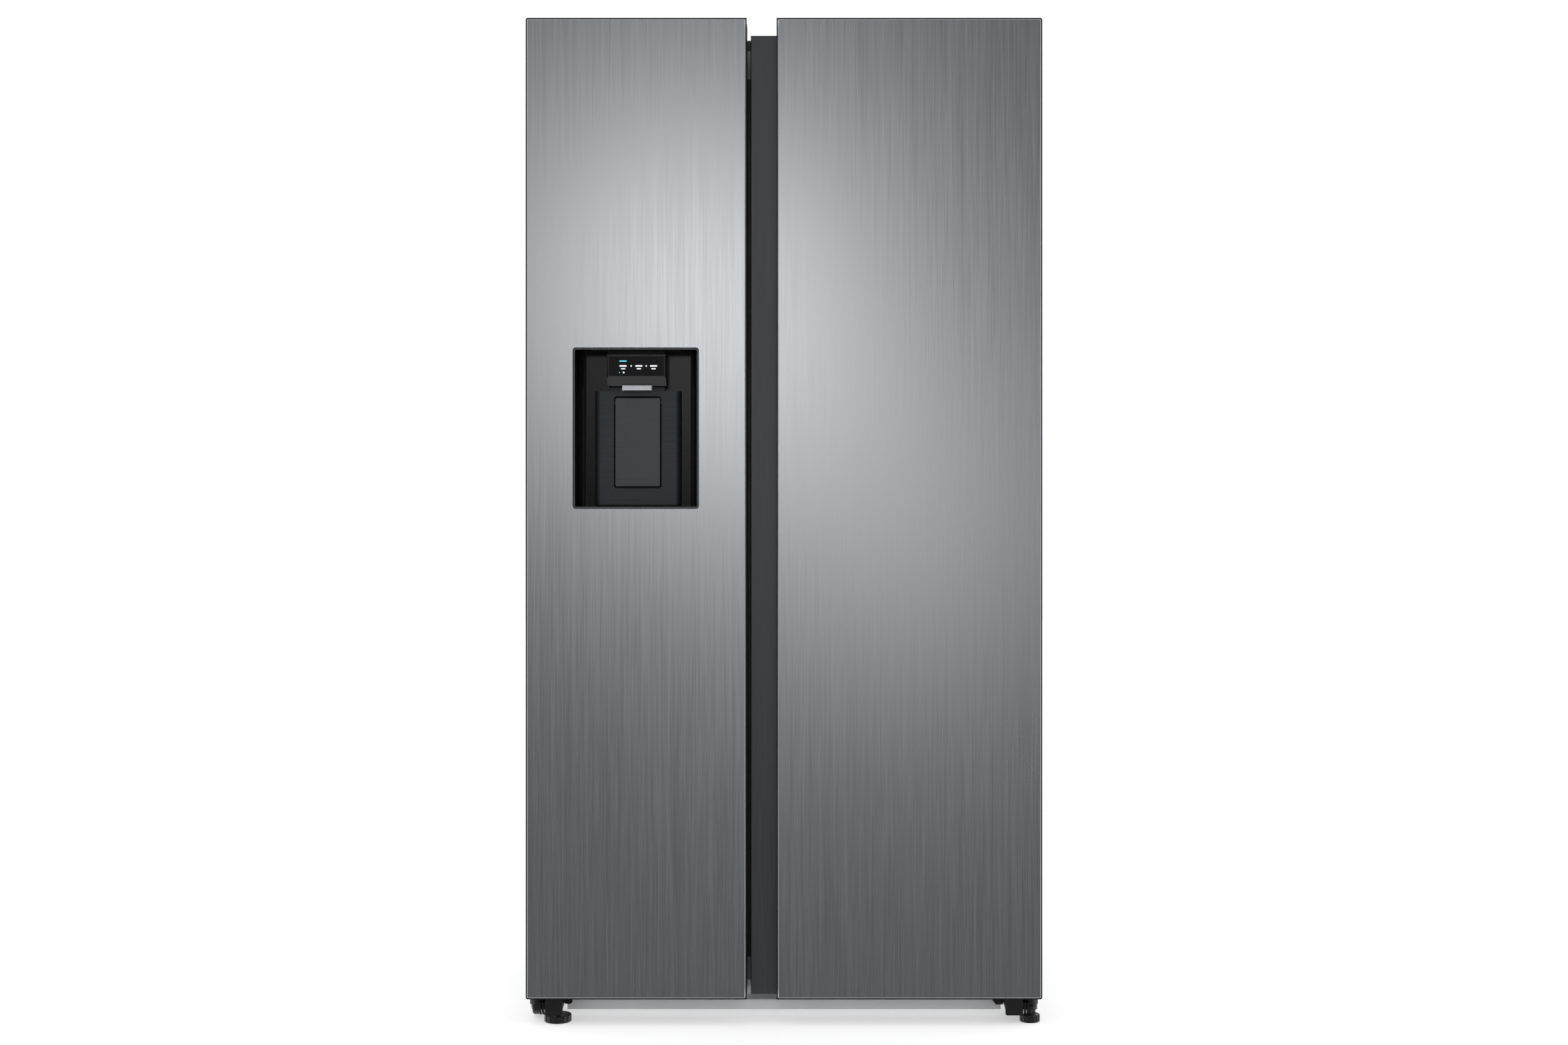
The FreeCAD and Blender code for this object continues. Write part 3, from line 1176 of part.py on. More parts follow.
def machine_cover():
    """Slotted cover over the machine compartment, with the spacers that keep it off a wall."""
    y0 = CASE_BACK
    y1 = y0 + COVER_SHEET
    cover = box(-CASE_HALF + 4, CASE_HALF - 4, y0, y1, CASE_BOTTOM + 4, MACHINE_TOP + 8)
    cover = cover.makeFillet(6, edges_along(cover, "y"))
    for row in range(SLOT_ROWS):
        z = SLOT_FIRST_Z + row * SLOT_PITCH
        for x in SLOT_X:
            cover = cover.cut(soft_box(x, x + SLOT_LENGTH, y0 - 1, y1 + 1, z, z + SLOT_HEIGHT, 3, "y"))
    spacers = []
    for x in (-SPACER_X, SPACER_X):
        block = box(x - 15, x + 15, y1 - 0.5, REAR_Y, MACHINE_TOP - 22, MACHINE_TOP + 2)
        spacers.append(block.makeFillet(4, edges_along(block, "z", lambda p: p.y > y1)))
    cover = joined([cover] + spacers)
    cover = cover.cut(rod(GLAND_OUTER, (GLAND_AT[0], y0 - 1, GLAND_AT[1]), (0, 1, 0), COVER_SHEET + 2))
    return cover.cut(soft_box(VALVE_AT[0] - VALVE_WINDOW, VALVE_AT[0] + VALVE_WINDOW, y0 - 1, y1 + 1,
                              VALVE_AT[1] - VALVE_WINDOW, VALVE_AT[1] + VALVE_WINDOW, 4, "y"))


def rear_inlets():
    """Mains lead's gland and the water valve's threaded stub."""
    gx, gz = GLAND_AT
    vx, vz = VALVE_AT
    y0 = CASE_BACK
    gland = joined([
        rod(GLAND_OUTER, (gx, y0 - 2, gz), (0, 1, 0), COVER_SHEET + 4),
        rod(GLAND_OUTER + 3, (gx, y0 - 4, gz), (0, 1, 0), 4),
        rod(GLAND_OUTER + 3, (gx, y0 + COVER_SHEET, gz), (0, 1, 0), 4),
    ]).cut(rod(GLAND_BORE, (gx, y0 - 5, gz), (0, 1, 0), 20))
    valve = joined([
        box(vx - 20, vx + 20, y0 - 44, y0 - 4, vz - 18, vz + 18),
        rod(VALVE_NECK, (vx, y0 - 5, vz), (0, 1, 0), REAR_Y - y0 + 5),
    ]).cut(rod(VALVE_NECK - 4, (vx, y0 - 3, vz), (0, 1, 0), 30))
    return group([gland, valve])


# ---------------------------------------------------------------- undercarriage
def collar():
    """Fixed ring round the door's cam, with two V notches in its rim."""
    x = HINGE_X
    floor_z = HINGE_ARM_TOP
    base = tube(COLLAR_RADIUS, PIN_RADIUS - 0.5, (x, HINGE_Y, floor_z - HINGE_ARM), (0, 0, 1),
                HINGE_ARM + COLLAR_FLOOR)
    rim = tube(COLLAR_RADIUS, CAM_RADIUS + 0.6, (x, HINGE_Y, floor_z), (0, 0, 1), RIM_TOP - floor_z)
    notch = slab([(x - 7, RIM_TOP + 0.1), (x + 7, RIM_TOP + 0.1), (x, RIM_TOP - 4.5)], "y", HINGE_Y - 30, 60)
    return joined([base, rim.cut(notch)])


def bottom_hinge():
    """Right-hand bracket: front plate, cheeks, arm with its collar and pin, and bolts."""
    x0, x1 = BRACKET_X
    front = FRONT_Y + 12
    plate = soft_box(x0, x1, front, front + 3, BRACKET_BOTTOM, DOOR_BOTTOM - 1.5, 4.0, "y")
    cheeks = []
    for x in (x0, x1 - 3):
        side_view = [(front + 1, DOOR_BOTTOM - 1.5), (front + 1, 26), (front + 60, 33),
                     (CASE_FRONT + 60, 36), (CASE_FRONT + 60, CASE_BOTTOM), (CASE_FRONT - 3, CASE_BOTTOM),
                     (CASE_FRONT - 3, DOOR_BOTTOM - 1.5)]
        cheeks.append(slab(side_view, "x", x, 3))
    arm_bottom = HINGE_ARM_TOP - HINGE_ARM
    arm = box(x0, x1, front + 1, CASE_FRONT + 55, arm_bottom, HINGE_ARM_TOP)
    tongue = box(x1 - 1, HINGE_X, HINGE_Y - COLLAR_RADIUS, HINGE_Y + COLLAR_RADIUS, arm_bottom, HINGE_ARM_TOP)
    pin = rod(PIN_RADIUS, (HINGE_X, HINGE_Y, arm_bottom), (0, 0, 1), DOOR_BOTTOM + PIN_REACH - arm_bottom)
    flange = box(x0 - 6, x1, CASE_FRONT + 2, CASE_FRONT + 60, CASE_BOTTOM - 3, CASE_BOTTOM)
    ribs = []
    for start in (x1 + 1.5, x1 + 6.5):
        outline = [(start, BRACKET_BOTTOM + 1), (start + 2.2, BRACKET_BOTTOM + 1),
                   (start + 4.4, RIB_TOP), (start + 2.2, RIB_TOP)]
        ribs.append(slab(outline, "y", front + 3, 10))
    web = box(x1 - 1, x1 + 12, front + 11, front + 13, BRACKET_BOTTOM + 8, HINGE_ARM_TOP)
    bolts = [rod(4.5, (x0 + dx, CASE_FRONT + dy, CASE_BOTTOM - 7), (0, 0, 1), 4) for dx, dy in BRACKET_BOLTS]
    shapes = [plate, arm, tongue, pin, flange, collar(), web] + cheeks + ribs + bolts
    return joined(shapes)


def inner_lug(right_hand):
    """Lug at a bracket's inner end, with its bolt."""
    x1 = BRACKET_X[0]
    y0 = FRONT_Y + 60
    if right_hand:
        outline = [(x1 - 21, 36), (x1 - 12, 24), (x1 + 1, 24), (x1 + 1, 38), (x1 - 10, 38)]
    else:
        outline = [(x1 - 12, 38), (x1 - 12, 28), (x1 - 9, 25), (x1 + 1, 25), (x1 + 1, 38)]
    lug = slab(outline, "y", y0, 8)
    bolt = rod(3.6, (x1 - 6, y0 - 3, 31), (0, 1, 0), 4)
    return joined([lug, bolt])


def left_bottom_hinge():
    """Left bracket with its roller's axle bore and the foot's threaded bore beside the plate."""
    bracket = joined([bottom_hinge(), inner_lug(False), roller_bearer()])
    x = FOOT_LEFT_X
    bracket = bracket.cut(rod(STUD_RADIUS + PIN_FIT, (-x, HINGE_Y, FOOT_HEIGHT), (0, 0, 1), 60))
    bracket = bracket.cut(front_axle_space())
    return mirrored(bracket)


def right_bottom_hinge():
    """Right bracket, whose foot hangs under the hinge pin on a threaded stud."""
    boss = tube(STUD_BOSS, STUD_RADIUS + PIN_FIT, (HINGE_X, HINGE_Y, NUT_BOTTOM), (0, 0, 1),
                NUT_TOP - NUT_BOTTOM)
    strut = box(BRACKET_X[1] - 1, HINGE_X - STUD_RADIUS - 2, HINGE_Y - 6, HINGE_Y + 6,
                NUT_BOTTOM + 1, NUT_TOP - 1)
    bracket = joined([bottom_hinge(), inner_lug(True), boss, strut, roller_bearer()])
    stud_space = rod(STUD_RADIUS + PIN_FIT, (HINGE_X, HINGE_Y, 0), (0, 0, 1), HINGE_ARM_TOP - 9)
    return bracket.cut(stud_space).cut(front_axle_space())


def roller_bearer():
    """Cheek that the front roller's axle stands in."""
    y = FRONT_ROLLER_Y
    return slab([(y - 16, 40), (y - 9, FRONT_AXLE_Z - 8), (y + 9, FRONT_AXLE_Z - 8), (y + 16, 40)],
                "x", BRACKET_X[1] - 3, 3)


def front_axle_space():
    """Bore for the front roller's axle."""
    return rod(AXLE_RADIUS, (BRACKET_X[1] - 8, FRONT_ROLLER_Y, FRONT_AXLE_Z), (1, 0, 0), 12)


def foot(x, radius, notches, stud_top):
    """Levelling foot: a ribbed disc on a threaded stud."""
    disc = rod(radius, (x, HINGE_Y, 0), (0, 0, 1), FOOT_HEIGHT)
    rims = [e for e in disc.Edges if e.Curve.TypeId == "Part::GeomCircle"]
    disc = disc.makeFillet(1.5, rims)
    for i in range(notches):
        angle = 2 * math.pi * (i + 0.5) / notches
        reach = radius + 0.4
        middle = (x + reach * math.cos(angle), HINGE_Y + reach * math.sin(angle), 2.5)
        disc = disc.cut(rod(radius * NOTCH_SHARE, middle, (0, 0, 1), FOOT_HEIGHT))
    stud = rod(STUD_RADIUS, (x, HINGE_Y, FOOT_HEIGHT - 1), (0, 0, 1), stud_top - FOOT_HEIGHT + 1)
    return joined([disc, stud])


def roller(x, y, z, radius):
    """Hard plastic roller with rounded shoulders, bored for its axle."""
    half = ROLLER_WIDTH / 2
    wheel = rod(radius, (x - half, y, z), (1, 0, 0), ROLLER_WIDTH)
    wheel = wheel.makeFillet(4.5, [e for e in wheel.Edges if e.Curve.TypeId == "Part::GeomCircle"])
    return wheel.cut(rod(AXLE_RADIUS + PIN_FIT, (x - half - 1, y, z), (1, 0, 0), ROLLER_WIDTH + 2))


def roller_axles():
    """Steel axles of the four rollers."""
    axles = []
    reach = ROLLER_WIDTH / 2 + ROLLER_GAP + CHEEK
    for x in (-REAR_ROLLER_X, REAR_ROLLER_X):
        axles.append(rod(AXLE_RADIUS, (x - reach, REAR_ROLLER_Y, ROLLER_RADIUS), (1, 0, 0), 2 * reach))
    start = BRACKET_X[1] - 3
    end = FRONT_ROLLER_X + ROLLER_WIDTH / 2 + 2.5
    right = rod(AXLE_RADIUS, (start, FRONT_ROLLER_Y, FRONT_AXLE_Z), (1, 0, 0), end - start)
    head = rod(AXLE_RADIUS + 2, (end - 2, FRONT_ROLLER_Y, FRONT_AXLE_Z), (1, 0, 0), 2)
    right = joined([right, head])
    return group(axles + [mirrored(right), right])


# ---------------------------------------------------------------- all sub-parts
save("cabinet_shell", cabinet_shell())
save("back_panel", back_panel())
save("cabinet_foam", cabinet_foam())
save("freezer_liner", liner(FREEZER_X, FREEZER_SHELF_Z))
save("fridge_liner", liner(FRIDGE_X, FRIDGE_SHELF_Z))
save("centre_post", centre_post())
save("base_frame", base_frame())
save("base_rail", base_rail())
save("top_cover", top_cover())
save("top_hinges", top_hinges())
save("bottom_hinge_left", left_bottom_hinge())
save("bottom_hinge_right", right_bottom_hinge())

for name, side in (("left", -1), ("right", 1)):
    save(name + "_door_panel", door_panel(side))
    save(name + "_door_frame", door_frame(side))
    save(name + "_door_core", door_core(side))
    save(name + "_door_liner", door_liner(side))
    save(name + "_door_gasket", door_gasket(side))
    save(name + "_door_bins", door_bins(side))
save("handle_strip", handle_strip())

save("dispenser_bezel", dispenser_bezel())
save("dispenser_recess", dispenser_recess())
save("dispenser_head", dispenser_head())
save("dispenser_display", dispenser_display())
save("dispenser_paddle", dispenser_paddle())
save("ice_chute", ice_chute())
save("ice_flap", ice_flap())
save("ice_bucket", ice_bucket())
save("ice_auger", ice_auger())
save("ice_maker", ice_maker())

save("glass_shelves", glass_shelves())
save("shelf_trims", shelf_trims())
save("interior_lamps", interior_lamps())
save("evaporator", evaporator())
save("freezer_air_panel", freezer_air_panel())
save("evaporator_fan", evaporator_fan())
save("fridge_air_duct", fridge_air_duct())
for name, x_range in (("freezer", FREEZER_X), ("fridge", FRIDGE_X)):
    save(name + "_drawer_upper", drawer(x_range, UPPER_DRAWER_BOTTOM, UPPER_DRAWER_TOP, DRAWER_BACK))
    save(name + "_drawer_lower", drawer(x_range, LOWER_DRAWER_BOTTOM, LOWER_DRAWER_TOP, LOWER_DRAWER_BACK))

save("compressor", compressor())
save("condenser", condenser())
save("condenser_fan", condenser_fan())
save("fan_shroud", fan_shroud())
save("drain_tray", drain_tray())
save("machine_cover", machine_cover())
save("rear_inlets", rear_inlets())

save("foot_left", foot(FOOT_LEFT_X, FOOT_RADIUS_LEFT, 14, HINGE_ARM_TOP + 4))
save("foot_right", foot(HINGE_X, FOOT_RADIUS_RIGHT, 16, HINGE_ARM_TOP - 10))
for name, sign in (("left", -1), ("right", 1)):
    save("rear_roller_" + name, roller(sign * REAR_ROLLER_X, REAR_ROLLER_Y, ROLLER_RADIUS, ROLLER_RADIUS))
    front = roller(sign * FRONT_ROLLER_X, FRONT_ROLLER_Y, FRONT_AXLE_Z, FRONT_ROLLER_RADIUS)
    save("front_roller_" + name, front)
save("roller_axles", roller_axles())
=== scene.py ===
import json
import math

import bpy
import numpy as np
from bpy.props import FloatProperty, FloatVectorProperty, IntProperty, PointerProperty
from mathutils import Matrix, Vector


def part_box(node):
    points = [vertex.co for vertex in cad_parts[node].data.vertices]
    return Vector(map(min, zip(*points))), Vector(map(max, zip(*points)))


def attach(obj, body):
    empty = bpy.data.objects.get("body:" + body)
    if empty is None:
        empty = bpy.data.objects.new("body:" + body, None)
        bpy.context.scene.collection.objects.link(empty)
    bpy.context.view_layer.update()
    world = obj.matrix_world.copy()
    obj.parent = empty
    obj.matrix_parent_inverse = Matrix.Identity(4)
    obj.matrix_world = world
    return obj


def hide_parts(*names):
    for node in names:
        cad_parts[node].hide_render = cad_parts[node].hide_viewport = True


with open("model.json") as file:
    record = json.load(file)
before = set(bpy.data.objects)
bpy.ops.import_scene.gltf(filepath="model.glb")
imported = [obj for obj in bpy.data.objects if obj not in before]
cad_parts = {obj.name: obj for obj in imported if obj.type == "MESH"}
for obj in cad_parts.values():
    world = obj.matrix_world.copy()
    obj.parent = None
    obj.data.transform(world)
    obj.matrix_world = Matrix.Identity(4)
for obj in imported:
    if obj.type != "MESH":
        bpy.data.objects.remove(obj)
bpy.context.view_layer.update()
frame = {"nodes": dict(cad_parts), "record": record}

bl_info = {
    "name": "Side by side refrigerator",
    "version": (1, 0, 0),
    "blender": (4, 5, 0),
    "location": "3D View > Sidebar > Refrigerator",
    "description": "Finishes, small detail pieces and a studio for a side by side refrigerator",
    "category": "Object",
}

MM = 0.001
FLOOR_HALF = 14.0           # half the floor's side
FLOOR_GLOW = 0.42           # what a camera ray sees on the floor on top of its own light
# soft patches of the studio that the doors mirror: (across, up) of the heading, spreads, level
KEY_PATCHES = (
    ((-0.045, 0.112), (0.112, 0.136), 3.85),
    ((0.060, 0.002), (0.100, 0.130), 1.45),
)
# each lamp's name; its place across, ahead of the doors and up; its target across and up; its size
LAMPS = (
    ("key_lamp", (-0.10, 3.4, 1.66), (-0.05, 1.05), (1.30, 1.70)),
    ("side_lamp", (0.62, 3.0, 0.90), (0.30, 0.90), (0.70, 1.20)),
)
SENSOR_WIDTH = 36.0         # camera's sensor, in its own millimetres
CLIP_START = 0.05
RAISED_HALF = 77.3 * MM     # half the width of the raised panel behind the dispenser's lever
RAISED_BACK = 2.4 * MM      # from the recess's outer back to just ahead of its inner back wall
GASKET_WIDTH = 16.0 * MM
GASKET_CORNER = 6.0 * MM
BEZEL_RIM = 4.0 * MM
BEZEL_CORNER = 5.5 * MM
BEAD_HEIGHT = 1.1 * MM
# marks' places on the display, as shares of its width from the left and of its height from the top
LABEL_SHARES = (0.25, 0.55, 0.83)
DIVIDER_SHARES = (0.405, 0.69)
LIT_BAR_DROP = 0.23
LABEL_DROP = 0.49
LOW_LABEL_DROP = 0.64
DOT_DROP = 0.84
LOW_LABEL_WIDTH = 0.30      # half width of the lower label, as a share of the mark width
MARK_RISE = 0.12 * MM
DISPLAY_LEAN = 6.0 / 34.0   # how far the display's face leans back for its height
RAISED_FOOT = 4.0 * MM      # raised panel's lower end above the recess's lower side


# ---------------------------------------------------------------- settings
class FridgeFinishes(bpy.types.PropertyGroup):
    """Colours of the refrigerator's visible surfaces, as linear values."""

    steel: FloatVectorProperty(name="Door steel", description="Brushed steel of the two door fronts",
                               subtype="COLOR", size=3, min=0, max=1, default=(0.50, 0.51, 0.535))
    strip: FloatVectorProperty(name="Handle strip", description="Dark brushed strip between the doors",
                               subtype="COLOR", size=3, min=0, max=1, default=(0.150, 0.156, 0.170))
    edge: FloatVectorProperty(name="Door edge", description="Dark frame round each door",
                              subtype="COLOR", size=3, min=0, max=1, default=(0.010, 0.010, 0.012))
    case: FloatVectorProperty(name="Case paint", description="Painted top and sides of the case",
                              subtype="COLOR", size=3, min=0, max=1, default=(0.34, 0.35, 0.36))
    rail: FloatVectorProperty(name="Base rail", description="Silver rail under the doors",
                              subtype="COLOR", size=3, min=0, max=1, default=(0.84, 0.845, 0.86))
    liner: FloatVectorProperty(name="Liner", description="White inside of the rooms and doors",
                               subtype="COLOR", size=3, min=0, max=1, default=(0.80, 0.82, 0.84))
    recess: FloatVectorProperty(name="Recess", description="Gloss walls of the dispenser's recess",
                                subtype="COLOR", size=3, min=0, max=1, default=(0.006, 0.006, 0.007))
    raised: FloatVectorProperty(name="Raised panel", description="Satin panel behind the dispenser's lever",
                                subtype="COLOR", size=3, min=0, max=1, default=(0.060, 0.062, 0.067))
    paddle: FloatVectorProperty(name="Lever", description="Dark brushed dispenser lever",
                                subtype="COLOR", size=3, min=0, max=1, default=(0.10, 0.102, 0.109))
    black: FloatVectorProperty(name="Black parts", description="Brackets, feet, rollers and trays",
                               subtype="COLOR", size=3, min=0, max=1, default=(0.010, 0.010, 0.011))
    lit_mark: FloatVectorProperty(name="Lit mark", description="Lit marks on the display",
                                  subtype="COLOR", size=3, min=0, max=1, default=(0.10, 0.62, 0.72))


class FridgeStudio(bpy.types.PropertyGroup):
    """Camera, lamps and backdrop."""

    camera_distance: FloatProperty(name="Camera distance", description="From the door fronts to the camera",
                                   default=3.50, min=1.0, unit="LENGTH")
    camera_height: FloatProperty(name="Camera height", description="Camera above the floor",
                                 default=0.889, min=0.1, unit="LENGTH")
    frame_width: FloatProperty(name="Frame width",
                               description="Width that the view takes in at the door fronts",
                               default=2.766, min=0.5, unit="LENGTH")
    key_power: FloatProperty(name="Key lamp", description="Power of the large lamp over the camera, in watts",
                             default=14.0, min=0.0)
    side_power: FloatProperty(name="Side lamp", description="Power of the low lamp at the right, in watts",
                              default=4.0, min=0.0)
    room_level: FloatProperty(name="Room level", description="Light level from all round on matt surfaces",
                              default=0.82, min=0.0)
    front_level: FloatProperty(name="Front level",
                               description="Brightness of the dim side of the studio in reflections",
                               default=0.16, min=0.0)


class FridgeSizes(bpy.types.PropertyGroup):
    """Sizes of the small pieces that are added to the frame."""

    gasket_folds: IntProperty(name="Gasket folds", description="Folds of the door gaskets' bellows",
                              default=2, min=1, max=4)
    mark_width: FloatProperty(name="Mark width", description="Length of a bar mark on the display",
                              default=0.013, min=0.002, unit="LENGTH")


def finishes():
    return bpy.context.scene.fridge_finishes


def sizes():
    return bpy.context.scene.fridge_sizes


# ---------------------------------------------------------------- finish making
def new_finish(name, colour, roughness, metallic=0.0, **sockets):
    """A material whose shader's own sockets hold every value that is the same all over."""
    material = bpy.data.materials.new(name)
    material.use_nodes = True
    shader = material.node_tree.nodes["Principled BSDF"]
    shader.inputs["Base Color"].default_value = (*colour, 1.0)
    shader.inputs["Roughness"].default_value = roughness
    shader.inputs["Metallic"].default_value = metallic
    for socket, value in sockets.items():
        shader.inputs[socket.replace("_", " ")].default_value = value
    return material, material.node_tree, shader


def grain(tree, scale, detail=4.0, roughness=0.55):
    """Noise on Object coordinates, scaled apart along x, y and z, in cycles a metre."""
    place = tree.nodes.new("ShaderNodeTexCoord")
    mapping = tree.nodes.new("ShaderNodeMapping")
    noise = tree.nodes.new("ShaderNodeTexNoise")
    mapping.inputs["Scale"].default_value = scale
    noise.inputs["Scale"].default_value = 1.0
    noise.inputs["Detail"].default_value = detail
    noise.inputs["Roughness"].default_value = roughness
    tree.links.new(place.outputs["Object"], mapping.inputs["Vector"])
    tree.links.new(mapping.outputs["Vector"], noise.inputs["Vector"])
    return noise.outputs["Fac"]


def spread(tree, value, low, high, start=0.3, end=0.7):
    """Stretches the middle of a noise to a range of values."""
    node = tree.nodes.new("ShaderNodeMapRange")
    node.inputs["From Min"].default_value = start
    node.inputs["From Max"].default_value = end
    node.inputs["To Min"].default_value = low
    node.inputs["To Max"].default_value = high
    tree.links.new(value, node.inputs["Value"])
    return node.outputs["Result"]


def blend_colours(tree, factor, first, second):
    """Colour that runs from first to second as the factor runs from 0 to 1."""
    node = tree.nodes.new("ShaderNodeMix")
    node.data_type = "RGBA"
    node.inputs["A"].default_value = (*first, 1.0)
    node.inputs["B"].default_value = (*second, 1.0)
    tree.links.new(factor, node.inputs["Factor"])
    return node.outputs["Result"]


def scaled(colour, factor):
    return tuple(min(1.0, channel * factor) for channel in colour)


def raise_surface(tree, shader, height, depth, strength=1.0):
    """Bump whose full height is depth metres."""
    bump = tree.nodes.new("ShaderNodeBump")
    bump.inputs["Strength"].default_value = strength
    bump.inputs["Distance"].default_value = depth
    tree.links.new(height, bump.inputs["Height"])
    tree.links.new(bump.outputs["Normal"], shader.inputs["Normal"])


def vary(tree, shader, value, colour, contrast, rough_low, rough_high):
    """Lets one noise move the colour and the roughness a little."""
    factor = spread(tree, value, 0.0, 1.0)
    tone = blend_colours(tree, factor, scaled(colour, 1.0 - contrast), scaled(colour, 1.0 + contrast))
    tree.links.new(tone, shader.inputs["Base Color"])
    tree.links.new(spread(tree, value, rough_low, rough_high), shader.inputs["Roughness"])


def added(tree, first, second, share):
    """First noise plus a share of a second one."""
    node = tree.nodes.new("ShaderNodeMix")
    node.data_type = "FLOAT"
    node.inputs["Factor"].default_value = share
    tree.links.new(first, node.inputs["A"])
    tree.links.new(second, node.inputs["B"])
    return node.outputs["Result"]


def brushed_metal(name, colour, along, contrast, rough, depth, metallic=1.0):
    """Brushed metal: fine and coarse streaks that run along one axis."""
    material, tree, shader = new_finish(name, colour, rough, metallic)
    fine = [620.0, 620.0, 620.0]
    broad = [150.0, 150.0, 150.0]
    fine[along] = 9.0
    broad[along] = 2.2
    streaks = added(tree, grain(tree, fine, 3.0), grain(tree, broad, 2.0), 0.32)
    vary(tree, shader, streaks, colour, contrast, rough - 0.05, rough + 0.05)
    raise_surface(tree, shader, streaks, depth)
    return material


def painted_metal(name, colour, rough, peel=0.00006, metallic=0.0):
    """Paint with a slight orange peel and cloudy gloss."""
    material, tree, shader = new_finish(name, colour, rough, metallic)
    peel_noise = grain(tree, (420.0, 420.0, 420.0), 2.0)
    cloud = grain(tree, (9.0, 9.0, 9.0), 4.0)
    vary(tree, shader, cloud, colour, 0.035, rough - 0.05, rough + 0.06)
    raise_surface(tree, shader, peel_noise, peel)
    return material


def moulded_plastic(name, colour, rough, grain_size=1500.0, depth=0.00003, contrast=0.05):
    """Plastic with the fine texture of its mould and slightly uneven gloss."""
    material, tree, shader = new_finish(name, colour, rough)
    texture = grain(tree, (grain_size,) * 3, 3.0)
    cloud = grain(tree, (22.0, 22.0, 22.0), 4.0)
    vary(tree, shader, cloud, colour, contrast, rough - 0.05, rough + 0.05)
    raise_surface(tree, shader, texture, depth)
    return material


def see_through(name, colour, rough, alpha):
    """Clear moulded plastic: thin enough to be shown by its coverage, with a wavy gloss."""
    material, tree, shader = new_finish(name, colour, rough, 0.0, IOR=1.49)
    wave = grain(tree, (34.0, 34.0, 34.0), 3.0)
    factor = spread(tree, wave, alpha - 0.015, alpha + 0.015)
    tree.links.new(factor, shader.inputs["Alpha"])
    tree.links.new(spread(tree, wave, rough - 0.03, rough + 0.03), shader.inputs["Roughness"])
    raise_surface(tree, shader, wave, 0.00006)
    return material


def product(tree, first, second):
    node = tree.nodes.new("ShaderNodeMath")
    node.operation = "MULTIPLY"
    tree.links.new(first, node.inputs[0])
    tree.links.new(second, node.inputs[1])
    return node.outputs["Value"]


# ---------------------------------------------------------------- finishes of the frame's nodes
def door_steel():
    """Brushed steel with upright streaks, a broad cloudiness and faint fine lines in the gloss."""
    colour = finishes().steel
    material, tree, shader = new_finish("door_steel", colour, 0.23, 1.0)
    fine = grain(tree, (680.0, 680.0, 7.0), 3.0, 0.6)
    broad = grain(tree, (120.0, 120.0, 1.6), 3.0)
    streaks = added(tree, fine, broad, 0.30)
    vary(tree, shader, streaks, colour, 0.12, 0.20, 0.26)
    raise_surface(tree, shader, broad, 0.00001)
    return material


def dark_strip():
    return brushed_metal("strip_metal", finishes().strip, 2, 0.13, 0.40, 0.00003)


def case_paint():
    return painted_metal("case_paint", finishes().case, 0.42)


def back_sheet():
    """Galvanised sheet: spangles of slightly different grey."""
    material, tree, shader = new_finish("back_sheet", (0.46, 0.47, 0.48), 0.46, 0.85)
    place = tree.nodes.new("ShaderNodeTexCoord")
    cells = tree.nodes.new("ShaderNodeTexVoronoi")
    cells.inputs["Scale"].default_value = 95.0
    tree.links.new(place.outputs["Object"], cells.inputs["Vector"])
    split = tree.nodes.new("ShaderNodeSeparateColor")
    tree.links.new(cells.outputs["Color"], split.inputs["Color"])
    value = split.outputs["Red"]
    tone = blend_colours(tree, value, (0.43, 0.44, 0.45), (0.49, 0.50, 0.51))
    tree.links.new(tone, shader.inputs["Base Color"])
    tree.links.new(spread(tree, value, 0.38, 0.54, 0.0, 1.0), shader.inputs["Roughness"])
    raise_surface(tree, shader, grain(tree, (60.0, 60.0, 60.0), 3.0), 0.0002)
    return material


def urethane_foam():
    """Rigid foam: closed cells over a lumpy skin."""
    material, tree, shader = new_finish("foam", (0.72, 0.62, 0.38), 0.85)
    lumps = added(tree, grain(tree, (700.0, 700.0, 700.0), 2.0), grain(tree, (30.0, 30.0, 30.0)), 0.4)
    vary(tree, shader, lumps, (0.72, 0.62, 0.38), 0.10, 0.78, 0.92)
    raise_surface(tree, shader, lumps, 0.0006)
    return material


